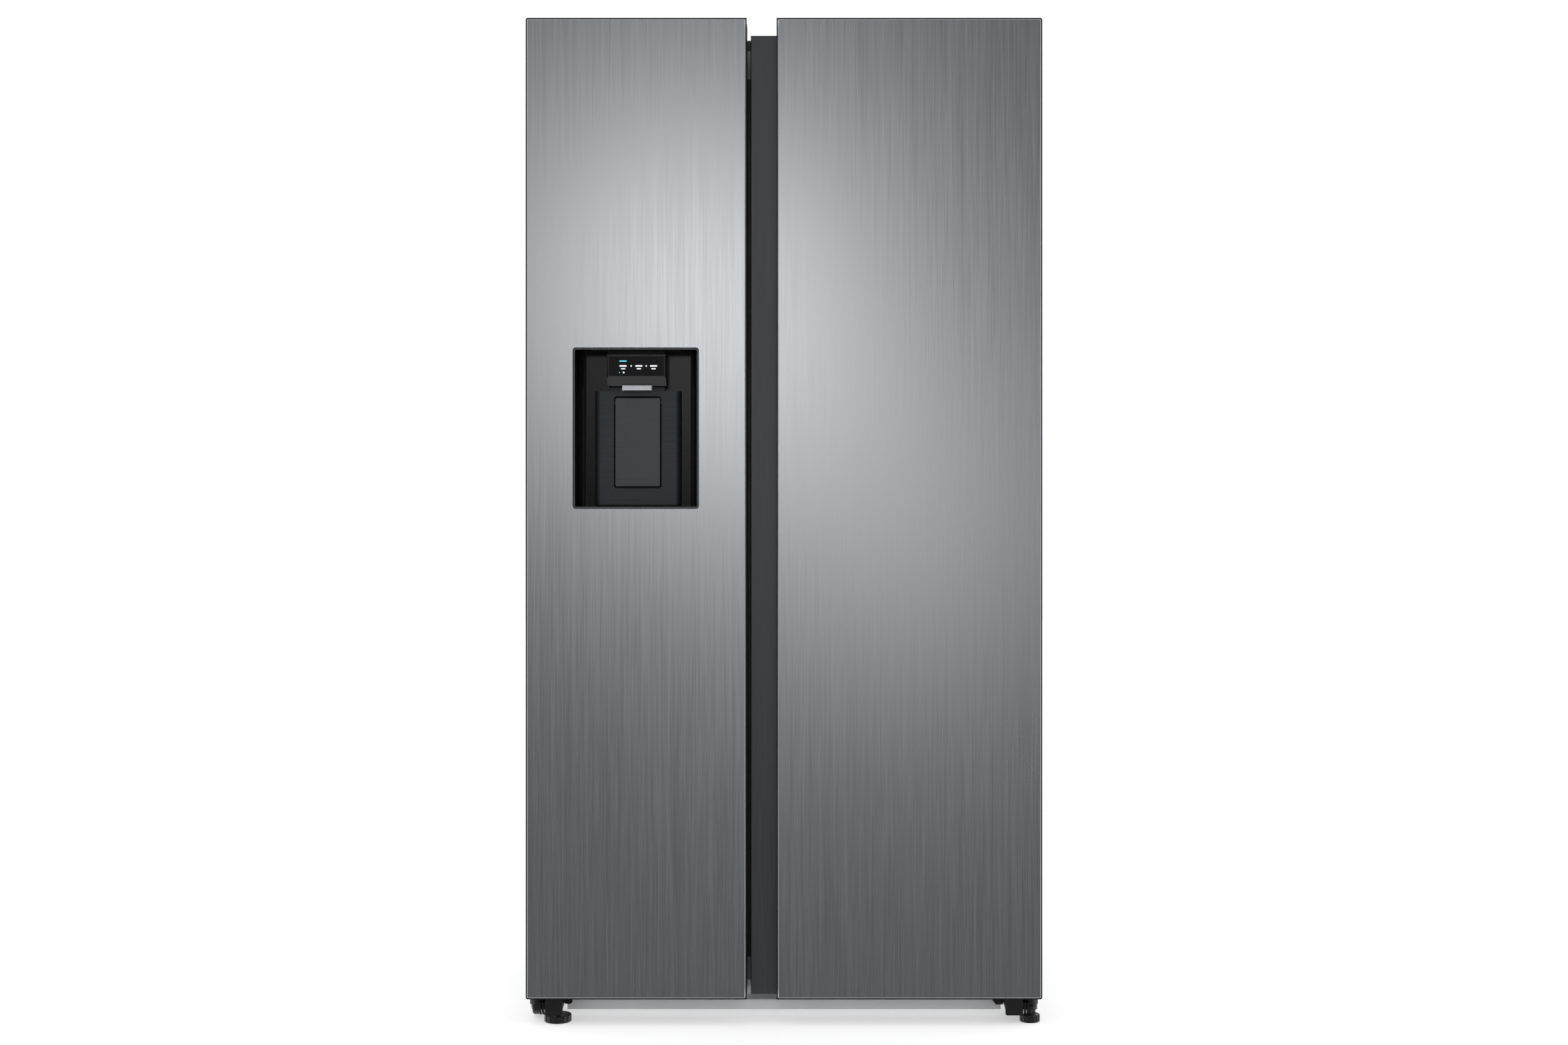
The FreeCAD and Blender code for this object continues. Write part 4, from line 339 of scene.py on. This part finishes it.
def recess_gloss():
    """Gloss black walls whose inner panel, nearer than the back wall, is satin grey.

    The share of the satin finish is 1 inside the raised panel's width and ahead of the back wall.
    """
    low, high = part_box("dispenser_recess")
    paddle_low, paddle_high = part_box("dispenser_paddle")
    dark = finishes().recess
    satin = finishes().raised
    material, tree, shader = new_finish("recess_black", dark, 0.16, 0.0, Specular_IOR_Level=0.16)
    place = tree.nodes.new("ShaderNodeTexCoord")
    centre = tree.nodes.new("ShaderNodeMapping")
    centre.inputs["Location"].default_value = (-(paddle_low.x + paddle_high.x) / 2, 0.0, 0.0)
    split = tree.nodes.new("ShaderNodeSeparateXYZ")
    width = tree.nodes.new("ShaderNodeMath")
    width.operation = "ABSOLUTE"
    tree.links.new(place.outputs["Object"], centre.inputs["Vector"])
    tree.links.new(centre.outputs["Vector"], split.inputs["Vector"])
    tree.links.new(split.outputs["X"], width.inputs[0])
    half = RAISED_HALF
    wall_y = high.y - RAISED_BACK
    across = spread(tree, width.outputs["Value"], 1.0, 0.0, half, half + 0.0015)
    ahead = spread(tree, split.outputs["Y"], 1.0, 0.0, wall_y - 0.0015, wall_y)
    above = spread(tree, split.outputs["Z"], 0.0, 1.0, low.z + RAISED_FOOT, low.z + RAISED_FOOT + 0.002)
    share = product(tree, product(tree, across, ahead), above)
    brush = spread(tree, grain(tree, (9.0, 500.0, 700.0), 3.0), 0.85, 1.2)
    tone = blend_colours(tree, share, dark, satin)
    shade = tree.nodes.new("ShaderNodeMix")
    shade.data_type = "RGBA"
    shade.blend_type = "MULTIPLY"
    shade.inputs["Factor"].default_value = 1.0
    tree.links.new(tone, shade.inputs["A"])
    tree.links.new(brush, shade.inputs["B"])
    tree.links.new(shade.outputs["Result"], shader.inputs["Base Color"])
    gloss = spread(tree, share, 0.14, 0.38, 0.0, 1.0)
    tree.links.new(gloss, shader.inputs["Roughness"])
    tree.links.new(spread(tree, share, 0.0, 0.75, 0.0, 1.0), shader.inputs["Metallic"])
    raise_surface(tree, shader, grain(tree, (260.0, 260.0, 260.0), 2.0), 0.00003)
    return material


def finned_metal(name, pitch):
    """Bare aluminium whose fins are fine upright ridges across the coil, with painted shade in the gaps
    between the fins and painted light on their tops.
    """
    material, tree, shader = new_finish(name, (0.62, 0.63, 0.64), 0.38, 1.0)
    place = tree.nodes.new("ShaderNodeTexCoord")
    ridges = tree.nodes.new("ShaderNodeTexWave")
    ridges.bands_direction = "X"
    ridges.inputs["Scale"].default_value = 1.0 / pitch
    tree.links.new(place.outputs["Object"], ridges.inputs["Vector"])
    value = ridges.outputs["Fac"]
    # painted shade and light: the colour runs 30% darker in the gaps between the fins and 30% lighter on
    # their tops
    vary(tree, shader, value, (0.62, 0.63, 0.64), 0.30, 0.32, 0.48)
    raise_surface(tree, shader, value, pitch * 0.5)
    return material


def display_glass():
    """Near-black gloss cover with faint smears in the gloss."""
    material, tree, shader = new_finish("display_black", (0.006, 0.006, 0.007), 0.07, 0.0, IOR=1.5)
    smear = grain(tree, (28.0, 28.0, 9.0), 5.0)
    vary(tree, shader, smear, (0.006, 0.006, 0.007), 0.10, 0.05, 0.12)
    raise_surface(tree, shader, smear, 0.00002)
    return material


def glowing_white():
    """Opal lamp cover, lit a little."""
    material, tree, shader = new_finish("lamp_white", (0.9, 0.9, 0.88), 0.35, Emission_Strength=0.25)
    shader.inputs["Emission Color"].default_value = (1.0, 0.98, 0.94, 1.0)
    ribs = grain(tree, (90.0, 600.0, 90.0), 2.0)
    vary(tree, shader, ribs, (0.88, 0.88, 0.86), 0.04, 0.28, 0.42)
    raise_surface(tree, shader, ribs, 0.0003)
    return material


def shelf_glass():
    """Clear tempered glass, thin enough to be shown by coverage, greener where it is seen on edge."""
    material, tree, shader = new_finish("shelf_glass", (0.55, 0.72, 0.68), 0.04, 0.0, IOR=1.5)
    facing = tree.nodes.new("ShaderNodeLayerWeight")
    facing.inputs["Blend"].default_value = 0.35
    smear = grain(tree, (18.0, 18.0, 18.0), 5.0)
    tree.links.new(spread(tree, facing.outputs["Facing"], 0.28, 0.85, 0.0, 1.0), shader.inputs["Alpha"])
    tree.links.new(spread(tree, smear, 0.03, 0.09), shader.inputs["Roughness"])
    raise_surface(tree, shader, smear, 0.00003)
    return material


def liner_plastic():
    """Vacuum-formed white sheet: soft gloss, a little unevenness from forming."""
    material, tree, shader = new_finish("liner_white", finishes().liner, 0.34)
    cloud = grain(tree, (14.0, 14.0, 14.0), 4.0)
    vary(tree, shader, cloud, finishes().liner, 0.02, 0.28, 0.40)
    raise_surface(tree, shader, added(tree, cloud, grain(tree, (900.0,) * 3), 0.2), 0.0004)
    return material


def rail_paint():
    """Silver metallic paint with fine sparkle."""
    return painted_metal("rail_silver", finishes().rail, 0.36, 0.00003)


def gasket_rubber():
    return moulded_plastic("gasket", (0.46, 0.47, 0.48), 0.55, 700.0, 0.00005)


FINISH_MAKERS = {
    "door_steel": door_steel,
    "door_edge": lambda: moulded_plastic("door_edge", finishes().edge, 0.34, 900.0),
    "strip_metal": dark_strip,
    "case_paint": case_paint,
    "back_sheet": back_sheet,
    # painted shade: the centre post is given the near-black of the shaded gap between the doors in place of
    # its own lighter paint
    "post_dark": lambda: painted_metal("post_dark", (0.05, 0.052, 0.056), 0.38),
    "foam": urethane_foam,
    "liner_white": liner_plastic,
    "gasket": gasket_rubber,
    "clear_plastic": lambda: see_through("clear_plastic", (0.86, 0.91, 0.93), 0.08, 0.30),
    "shelf_glass": shelf_glass,
    "trim_silver": lambda: brushed_metal("trim_silver", (0.66, 0.67, 0.69), 0, 0.06, 0.30, 0.00003),
    "bezel_dark": lambda: brushed_metal("bezel_dark", (0.16, 0.165, 0.18), 2, 0.10, 0.26, 0.00002),
    "recess_black": recess_gloss,
    "head_black": lambda: moulded_plastic("head_black", (0.008, 0.008, 0.009), 0.20, 900.0, 0.00002),
    "display_black": display_glass,
    "paddle_dark": lambda: brushed_metal("paddle_dark", finishes().paddle, 0, 0.20, 0.34, 0.00003, 0.9),
    "chute_clear": lambda: see_through("chute_clear", (0.72, 0.76, 0.79), 0.22, 0.72),
    "ice_grey": lambda: moulded_plastic("ice_grey", (0.42, 0.44, 0.46), 0.38),
    "rail_silver": rail_paint,
    "cover_dark": lambda: moulded_plastic("cover_dark", (0.032, 0.033, 0.036), 0.40, 800.0),
    "hinge_steel": lambda: painted_metal("hinge_steel", (0.40, 0.41, 0.43), 0.34, 0.00004, 0.8),
    "bracket_black": lambda: painted_metal("bracket_black", finishes().black, 0.30),
    "foot_black": lambda: moulded_plastic("foot_black", finishes().black, 0.42, 500.0, 0.00006),
    "axle_zinc": lambda: brushed_metal("axle_zinc", (0.60, 0.59, 0.56), 0, 0.08, 0.32, 0.00003),
    "compressor_black": lambda: painted_metal("compressor_black", (0.012, 0.012, 0.013), 0.28, 0.0002),
    "coil_metal": lambda: finned_metal("coil_metal", 0.0035),
    "machine_metal": lambda: painted_metal("machine_metal", (0.42, 0.43, 0.44), 0.40, 0.00005, 0.8),
    "tray_black": lambda: moulded_plastic("tray_black", (0.014, 0.014, 0.015), 0.45),
    "fan_black": lambda: moulded_plastic("fan_black", (0.018, 0.018, 0.019), 0.40),
    "cover_grey": lambda: painted_metal("cover_grey", (0.20, 0.205, 0.21), 0.50, 0.00005, 0.5),
    "lamp_white": glowing_white,
    "inlet_white": lambda: moulded_plastic("inlet_white", (0.62, 0.64, 0.66), 0.42),
}


# ---------------------------------------------------------------- stage
def soft_patch(tree, place, heading, spread_angles, level):
    """Bright patch of the studio about one heading, fading smoothly to nothing at its edge.

    The level is a smooth step of 1 minus the distance from the heading, in units of the spread.
    """
    mapping = tree.nodes.new("ShaderNodeMapping")
    mapping.vector_type = "POINT"
    scale = (1.0 / spread_angles[0], 0.6, 1.0 / spread_angles[1])
    centre = Vector((heading[0], -1.0, heading[1])).normalized()
    mapping.inputs["Scale"].default_value = scale
    mapping.inputs["Location"].default_value = [-c * s for c, s in zip(centre, scale)]
    ball = tree.nodes.new("ShaderNodeTexGradient")
    ball.gradient_type = "SPHERICAL"
    tree.links.new(place, mapping.inputs["Vector"])
    tree.links.new(mapping.outputs["Vector"], ball.inputs["Vector"])
    fade = tree.nodes.new("ShaderNodeMapRange")
    fade.interpolation_type = "SMOOTHSTEP"
    fade.inputs["To Max"].default_value = level
    tree.links.new(ball.outputs["Fac"], fade.inputs["Value"])
    return fade.outputs["Result"]


def summed(tree, first, second):
    node = tree.nodes.new("ShaderNodeMath")
    node.operation = "ADD"
    tree.links.new(first, node.inputs[0])
    tree.links.new(second, node.inputs[1])
    return node.outputs["Value"]


def studio_world(studio):
    """White to the camera and through clear plastic; a plain level for matt surfaces.

    Reflections see a soft studio: dim in front of the doors, where the camera stands, with two
    soft patches above the camera, and rising smoothly to white at the sides, overhead and behind.
    """
    world = bpy.data.worlds.new("studio")
    world.use_nodes = True
    bpy.context.scene.world = world
    tree = world.node_tree
    tree.nodes.clear()
    output = tree.nodes.new("ShaderNodeOutputWorld")
    place = tree.nodes.new("ShaderNodeTexCoord").outputs["Generated"]
    split = tree.nodes.new("ShaderNodeSeparateXYZ")
    tree.links.new(place, split.inputs["Vector"])
    level = tree.nodes.new("ShaderNodeMapRange")
    level.interpolation_type = "SMOOTHSTEP"
    level.inputs["From Min"].default_value = -0.90
    level.inputs["From Max"].default_value = -0.30
    level.inputs["To Min"].default_value = studio.front_level
    level.inputs["To Max"].default_value = 1.0
    tree.links.new(split.outputs["Y"], level.inputs["Value"])
    mirrored = level.outputs["Result"]
    for heading, spread_angles, brightness in KEY_PATCHES:
        mirrored = summed(tree, mirrored, soft_patch(tree, place, heading, spread_angles, brightness))

    shaders = {}
    for name, strength in (("seen", 1.0), ("matt", studio.room_level), ("mirrored", 1.0)):
        background = tree.nodes.new("ShaderNodeBackground")
        background.inputs["Color"].default_value = (1.0, 1.0, 1.0, 1.0)
        background.inputs["Strength"].default_value = strength
        shaders[name] = background
    tree.links.new(mirrored, shaders["mirrored"].inputs["Strength"])
    path = tree.nodes.new("ShaderNodeLightPath")
    glossy = tree.nodes.new("ShaderNodeMixShader")
    seen = tree.nodes.new("ShaderNodeMixShader")
    direct = tree.nodes.new("ShaderNodeMath")
    direct.operation = "MAXIMUM"
    tree.links.new(path.outputs["Is Camera Ray"], direct.inputs[0])
    tree.links.new(path.outputs["Is Transmission Ray"], direct.inputs[1])
    tree.links.new(path.outputs["Is Glossy Ray"], glossy.inputs["Fac"])
    tree.links.new(shaders["matt"].outputs["Background"], glossy.inputs[1])
    tree.links.new(shaders["mirrored"].outputs["Background"], glossy.inputs[2])
    tree.links.new(direct.outputs["Value"], seen.inputs["Fac"])
    tree.links.new(glossy.outputs["Shader"], seen.inputs[1])
    tree.links.new(shaders["seen"].outputs["Background"], seen.inputs[2])
    tree.links.new(seen.outputs["Shader"], output.inputs["Surface"])


def floor_finish():
    """White matt floor with the object's shadow, which metal looks through to the studio beyond.

    A camera ray also sees a little glow, which brings the open floor up to the background's white.
    """
    material, tree, shader = new_finish("floor_pale", (0.93, 0.93, 0.93), 0.9, Emission_Strength=1.0)
    shader.inputs["Specular IOR Level"].default_value = 0.0
    path = tree.nodes.new("ShaderNodeLightPath")
    cloud = spread(tree, grain(tree, (1.5, 1.5, 1.5)), 0.0, 1.0)
    pale = blend_colours(tree, cloud, (0.925, 0.925, 0.925), (0.935, 0.935, 0.935))
    tree.links.new(pale, shader.inputs["Base Color"])
    glow = blend_colours(tree, path.outputs["Is Camera Ray"], (0.0, 0.0, 0.0), (FLOOR_GLOW,) * 3)
    tree.links.new(glow, shader.inputs["Emission Color"])
    beyond = tree.nodes.new("ShaderNodeBsdfTransparent")
    mixed = tree.nodes.new("ShaderNodeMixShader")
    tree.links.new(path.outputs["Is Glossy Ray"], mixed.inputs["Fac"])
    tree.links.new(shader.outputs["BSDF"], mixed.inputs[1])
    tree.links.new(beyond.outputs["BSDF"], mixed.inputs[2])
    tree.links.new(mixed.outputs["Shader"], tree.nodes["Material Output"].inputs["Surface"])
    return material


def floor_sheet(half, level):
    """Flat square grid of 2 by 2 faces about the origin, at one level."""
    across = np.linspace(-half, half, 3)
    x, y = np.meshgrid(across, across)
    points = np.stack([x, y, np.full_like(x, level)], axis=-1)
    return surface_mesh("studio_floor", points)


def soft_lamp(name, place, target, size, power):
    """Rectangular area lamp that faces a target."""
    data = bpy.data.lights.new(name, "AREA")
    data.shape = "RECTANGLE"
    data.size, data.size_y = size
    data.energy = power
    lamp = bpy.data.objects.new(name, data)
    bpy.context.scene.collection.objects.link(lamp)
    lamp.location = place
    direction = Vector(target) - Vector(place)
    lamp.rotation_euler = direction.to_track_quat("-Z", "Y").to_euler()
    lamp.visible_glossy = False
    return lamp


class FRIDGE_OT_stage(bpy.types.Operator):
    """Camera, world, lamps and floor"""

    bl_idname = "fridge.stage"
    bl_label = "Stage"

    def execute(self, context):
        studio = context.scene.fridge_studio
        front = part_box("left_door_panel")[0].y
        studio_world(studio)
        floor = floor_sheet(FLOOR_HALF, 0.0)
        floor.data.materials.append(floor_finish())
        powers = (studio.key_power, studio.side_power)
        for (name, place, target, size), power in zip(LAMPS, powers):
            (across, ahead, up), (target_across, target_up) = place, target
            soft_lamp(name, (across, front - ahead, up), (target_across, front, target_up), size, power)

        data = bpy.data.cameras.new("camera")
        data.sensor_width = SENSOR_WIDTH
        data.lens = data.sensor_width * studio.camera_distance / studio.frame_width
        data.clip_start = CLIP_START
        camera = bpy.data.objects.new("camera", data)
        context.scene.collection.objects.link(camera)
        camera.location = (0.0, front - studio.camera_distance, studio.camera_height)
        camera.rotation_euler = (math.pi / 2, 0.0, 0.0)
        context.scene.camera = camera
        context.scene.view_settings.view_transform = "Standard"
        return {"FINISHED"}


# ---------------------------------------------------------------- mesh making
def surface_mesh(name, points, closed_u=False, closed_v=False):
    """Quads over a grid of points, shaped (rows, columns, 3); either direction may close on itself.

    The face at row i and column j joins the points (i, j), (i, j+1), (i+1, j+1) and (i+1, j).
    """
    rows, columns = points.shape[:2]
    number = np.arange(rows * columns).reshape(rows, columns)
    if closed_u:
        number = np.concatenate([number, number[:1]], axis=0)
    if closed_v:
        number = np.concatenate([number, number[:, :1]], axis=1)
    quads = np.stack([number[:-1, :-1], number[:-1, 1:], number[1:, 1:], number[1:, :-1]], axis=-1)
    return mesh_object(name, points.reshape(-1, 3), quads.reshape(-1, 4))


def mesh_object(name, points, faces):
    """Smooth-shaded object at the origin, with its place in its mesh."""
    mesh = bpy.data.meshes.new(name)
    mesh.from_pydata(points.tolist(), [], [list(face) for face in faces.tolist()])
    mesh.validate()
    mesh.update()
    made = bpy.data.objects.new(name, mesh)
    bpy.context.scene.collection.objects.link(made)
    mesh.shade_smooth()
    return made


# ---------------------------------------------------------------- dressing the frame's nodes
MADE_FINISHES = {}


def finish(slot):
    """The finish of one of the record's material slots, made the first time it is asked for."""
    if slot not in MADE_FINISHES:
        MADE_FINISHES[slot] = FINISH_MAKERS[slot]()
    return MADE_FINISHES[slot]


def dress(*nodes):
    """Gives nodes of the frame the finishes of their material slots."""
    slots = {part["node"]: part["material_slot"] for part in frame["record"]["subparts"]}
    for node in nodes:
        for material_slot in frame["nodes"][node].material_slots:
            material_slot.material = finish(slots[node])


def settle(piece, slot, body):
    """Gives a new piece its finish and lets it ride on a body."""
    piece.data.materials.clear()
    piece.data.materials.append(finish(slot))
    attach(piece, body)
    return piece


class FRIDGE_OT_doors(bpy.types.Operator):
    """Both doors: steel fronts, dark frames, liners, cores, bins and the handle strip"""

    bl_idname = "fridge.doors"
    bl_label = "Doors"

    def execute(self, context):
        for side in ("left_door", "right_door"):
            dress(*(side + "_" + part for part in ("panel", "frame", "core", "liner", "gasket", "bins")))
        dress("handle_strip")
        return {"FINISHED"}


class FRIDGE_OT_dispenser(bpy.types.Operator):
    """Dispenser and ice maker in the left door"""

    bl_idname = "fridge.dispenser"
    bl_label = "Dispenser"

    def execute(self, context):
        dress(*("dispenser_" + part for part in ("bezel", "recess", "head", "display", "paddle")))
        dress("ice_chute", "ice_flap", "ice_bucket", "ice_auger", "ice_maker")
        return {"FINISHED"}


class FRIDGE_OT_case(bpy.types.Operator):
    """Case, back, foam, centre post, base frame and rail, top cover and hinges"""

    bl_idname = "fridge.case"
    bl_label = "Case"

    def execute(self, context):
        dress("cabinet_shell", "back_panel", "cabinet_foam", "centre_post", "base_frame", "base_rail")
        dress("top_cover", "top_hinges")
        return {"FINISHED"}


class FRIDGE_OT_rooms(bpy.types.Operator):
    """Liners, shelves, drawers, lamps and the cold air parts"""

    bl_idname = "fridge.rooms"
    bl_label = "Rooms"

    def execute(self, context):
        dress("freezer_liner", "fridge_liner", "glass_shelves", "shelf_trims", "interior_lamps")
        for room in ("freezer", "fridge"):
            dress(room + "_drawer_upper", room + "_drawer_lower")
        dress("evaporator", "evaporator_fan", "freezer_air_panel", "fridge_air_duct")
        return {"FINISHED"}


class FRIDGE_OT_machine(bpy.types.Operator):
    """Machine compartment at the lower rear"""

    bl_idname = "fridge.machine"
    bl_label = "Machine compartment"

    def execute(self, context):
        dress("compressor", "condenser", "condenser_fan", "fan_shroud", "drain_tray")
        dress("machine_cover", "rear_inlets")
        return {"FINISHED"}


class FRIDGE_OT_undercarriage(bpy.types.Operator):
    """Lower hinge brackets, feet, rollers and axles"""

    bl_idname = "fridge.undercarriage"
    bl_label = "Undercarriage"

    def execute(self, context):
        for side in ("left", "right"):
            dress("bottom_hinge_" + side, "foot_" + side, "front_roller_" + side, "rear_roller_" + side)
        dress("roller_axles")
        return {"FINISHED"}


# ---------------------------------------------------------------- small pieces
def rounded_rectangle(x0, x1, z0, z1, radius, corner_steps):
    """Points and outward directions round an upright rectangle with quarter-circle corners.

    Each corner is its centre plus the radius times (cos a, sin a), with a running over its quarter;
    the four quarters follow each other and close on themselves.
    """
    turn = np.linspace(0.0, np.pi / 2, corner_steps)
    angle = np.concatenate([turn + quarter * np.pi / 2 for quarter in range(4)])
    corner_x = np.repeat([x1 - radius, x0 + radius, x0 + radius, x1 - radius], corner_steps)
    corner_z = np.repeat([z1 - radius, z1 - radius, z0 + radius, z0 + radius], corner_steps)
    outward = np.stack([np.cos(angle), np.sin(angle)], axis=-1)
    return np.stack([corner_x, corner_z], axis=-1) + outward * radius, outward


def framed_profile(name, corners, radius, profile, corner_steps=8):
    """Closed profile carried round a rounded rectangle that stands in the X-Z plane.

    Profile points are (outward distance from the rectangle's edge, depth along Y); the surface is
    path point + outward times distance, at that depth.
    """
    (x0, z0), (x1, z1) = corners
    path, outward = rounded_rectangle(x0, x1, z0, z1, radius, corner_steps)
    profile = np.asarray(profile)
    flat = path[:, None, :] + outward[:, None, :] * profile[None, :, 0, None]
    depth = np.broadcast_to(profile[None, :, 1], flat.shape[:2])
    points = np.stack([flat[..., 0], depth, flat[..., 1]], axis=-1)
    return surface_mesh(name, points, closed_u=True, closed_v=True)


def bellows_profile(width, depth, folds):
    """Closed section of a door gasket, with its folds on both sides and a flat magnet pocket.

    Each side's distance from the middle is half the width times 0.72 plus 0.28 times the cosine
    of the folds along the depth.
    """
    along = np.linspace(0.0, 1.0, 10 * folds + 1)
    half = width / 2 * (0.72 + 0.28 * np.cos(2 * np.pi * folds * along))
    near = np.stack([half - width / 2, along * depth], axis=-1)
    far = np.stack([-half - width / 2, along * depth], axis=-1)
    return np.concatenate([near, far[::-1]])


class FRIDGE_OT_gaskets(bpy.types.Operator):
    """Folded magnetic gaskets in place of the plain ones"""

    bl_idname = "fridge.gaskets"
    bl_label = "Gaskets"

    def execute(self, context):
        folds = sizes().gasket_folds
        for side in ("left_door", "right_door"):
            low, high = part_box(side + "_gasket")
            depth = high.y - low.y
            profile = bellows_profile(GASKET_WIDTH, depth, folds) + np.array([0.0, low.y])
            gasket = framed_profile(side + "_gasket_folds", ((low.x, low.z), (high.x, high.z)),
                                    GASKET_CORNER, profile)
            settle(gasket, "gasket", side)
            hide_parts(side + "_gasket")
        return {"FINISHED"}


def bezel_profile(rim, depth, front):
    """Closed section of the dispenser's bezel: two rounded beads with a fine groove between them.

    The front edge is the bead height times |sin| of two half turns across the rim.
    """
    across = np.linspace(0.0, 1.0, 17)
    bead = np.abs(np.sin(2 * np.pi * across)) ** 0.6 * BEAD_HEIGHT
    face = np.stack([-across * rim, front + BEAD_HEIGHT - bead], axis=-1)
    back = np.array([[-rim, front + depth], [0.0, front + depth]])
    return np.concatenate([face, back])


class FRIDGE_OT_bezel(bpy.types.Operator):
    """Two-bead dark brushed metal bezel round the dispenser's opening"""

    bl_idname = "fridge.bezel"
    bl_label = "Bezel"

    def execute(self, context):
        low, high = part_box("dispenser_bezel")
        profile = bezel_profile(BEZEL_RIM, high.y - low.y, low.y)
        bezel = framed_profile("dispenser_bezel_beads", ((low.x, low.z), (high.x, high.z)),
                               BEZEL_CORNER, profile)
        settle(bezel, "bezel_dark", "left_door")
        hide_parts("dispenser_bezel")
        return {"FINISHED"}


def pill(name, middle, half_width, half_height, across, up, normal, rise):
    """Low rounded bar on a sloping face.

    Its outline is a stadium, the point set half_height away from a short segment; the side wall
    stands on the face and the top is a fan to the middle, domed by the rise.
    """
    angle = np.linspace(0.0, 2 * np.pi, 25)[:-1]
    straight = max(half_width - half_height, 0.0)
    x = np.cos(angle) * half_height + np.sign(np.cos(angle)) * straight
    z = np.sin(angle) * half_height
    share = np.array([1.0, 1.0, 0.9, 0.5, 0.02])
    height = np.array([0.0, 0.7, 0.95, 1.0, 1.0]) * rise
    grid = (np.asarray(middle)[None, None, :]
            + (share[:, None] * x[None, :])[..., None] * np.asarray(across)
            + (share[:, None] * z[None, :])[..., None] * np.asarray(up)
            + height[:, None, None] * np.asarray(normal))
    return surface_mesh(name, grid, closed_v=True)


def lit_finish(name, colour, strength):
    """Printed mark, lit from behind, with the light a little uneven."""
    material, tree, shader = new_finish(name, colour, 0.35, Emission_Strength=strength)
    glow = spread(tree, grain(tree, (260.0, 260.0, 260.0), 2.0), 0.0, 1.0)
    tone = blend_colours(tree, glow, scaled(colour, 0.9), scaled(colour, 1.1))
    tree.links.new(tone, shader.inputs["Emission Color"])
    tree.links.new(tone, shader.inputs["Base Color"])
    return material


class FRIDGE_OT_display_marks(bpy.types.Operator):
    """Plain bars and dots on the display, one lit bar over three pairs of white ones"""

    bl_idname = "fridge.display_marks"
    bl_label = "Display marks"

    def execute(self, context):
        low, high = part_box("dispenser_display")
        width = sizes().mark_width
        lean = np.array([0.0, DISPLAY_LEAN, -1.0]) / math.hypot(DISPLAY_LEAN, 1.0)
        up = -lean
        across = np.array([1.0, 0.0, 0.0])
        normal = np.array([0.0, -up[2], up[1]])
        white = lit_finish("mark_white", (0.85, 0.86, 0.88), 0.35)
        lit = lit_finish("mark_lit", finishes().lit_mark, 0.9)
        span = high.x - low.x
        height = high.z - low.z
        top = np.array([low.x, low.y, high.z])
        marks = [("lit_bar", LABEL_SHARES[0], LIT_BAR_DROP, width / 2, 0.0009, lit)]
        for number, share in enumerate(LABEL_SHARES, 1):
            marks.append((f"label_{number}", share, LABEL_DROP, width / 2, 0.0014, white))
            low_half = width * LOW_LABEL_WIDTH
            marks.append((f"label_low_{number}", share, LOW_LABEL_DROP, low_half, 0.0010, white))
        for number, share in enumerate(DIVIDER_SHARES, 1):
            marks.append((f"divider_{number}", share, LABEL_DROP, 0.0004, 0.0014, white))
        marks.append(("lit_dot", 0.18, DOT_DROP, 0.0008, 0.0008, lit))
        marks.append(("white_dot", 0.26, DOT_DROP, 0.0016, 0.0016, white))
        for name, share, drop, half_width, half_height, finish_made in marks:
            middle = top + across * span * share + lean * height * drop * math.hypot(DISPLAY_LEAN, 1.0)
            mark = pill("display_" + name, middle, half_width, half_height, across, up, normal, MARK_RISE)
            mark.data.materials.append(finish_made)
            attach(mark, "left_door")
        return {"FINISHED"}


# ---------------------------------------------------------------- panel and run
OPERATORS = (
    FRIDGE_OT_stage,
    FRIDGE_OT_doors,
    FRIDGE_OT_dispenser,
    FRIDGE_OT_case,
    FRIDGE_OT_rooms,
    FRIDGE_OT_machine,
    FRIDGE_OT_undercarriage,
    FRIDGE_OT_gaskets,
    FRIDGE_OT_bezel,
    FRIDGE_OT_display_marks,
)


class FRIDGE_PT_sidebar(bpy.types.Panel):
    """Sidebar panel that lists the steps and their settings"""

    bl_label = "Refrigerator"
    bl_idname = "FRIDGE_PT_sidebar"
    bl_space_type = "VIEW_3D"
    bl_region_type = "UI"
    bl_category = "Refrigerator"

    def draw(self, context):
        for operator in OPERATORS:
            self.layout.operator(operator.bl_idname)
        for group in (context.scene.fridge_finishes, context.scene.fridge_sizes, context.scene.fridge_studio):
            box = self.layout.box()
            for name in group.bl_rna.properties.keys():
                if name not in ("rna_type", "name"):
                    box.prop(group, name)


CLASSES = (FridgeFinishes, FridgeSizes, FridgeStudio, *OPERATORS, FRIDGE_PT_sidebar)


def register():
    for made in CLASSES:
        bpy.utils.register_class(made)
    bpy.types.Scene.fridge_finishes = PointerProperty(type=FridgeFinishes)
    bpy.types.Scene.fridge_sizes = PointerProperty(type=FridgeSizes)
    bpy.types.Scene.fridge_studio = PointerProperty(type=FridgeStudio)


def unregister():
    del bpy.types.Scene.fridge_studio
    del bpy.types.Scene.fridge_sizes
    del bpy.types.Scene.fridge_finishes
    for made in reversed(CLASSES):
        bpy.utils.unregister_class(made)


def main():
    register()
    for operator in OPERATORS:
        group, name = operator.bl_idname.split(".")
        getattr(getattr(bpy.ops, group), name)()


if __name__ == "__main__":
    main()
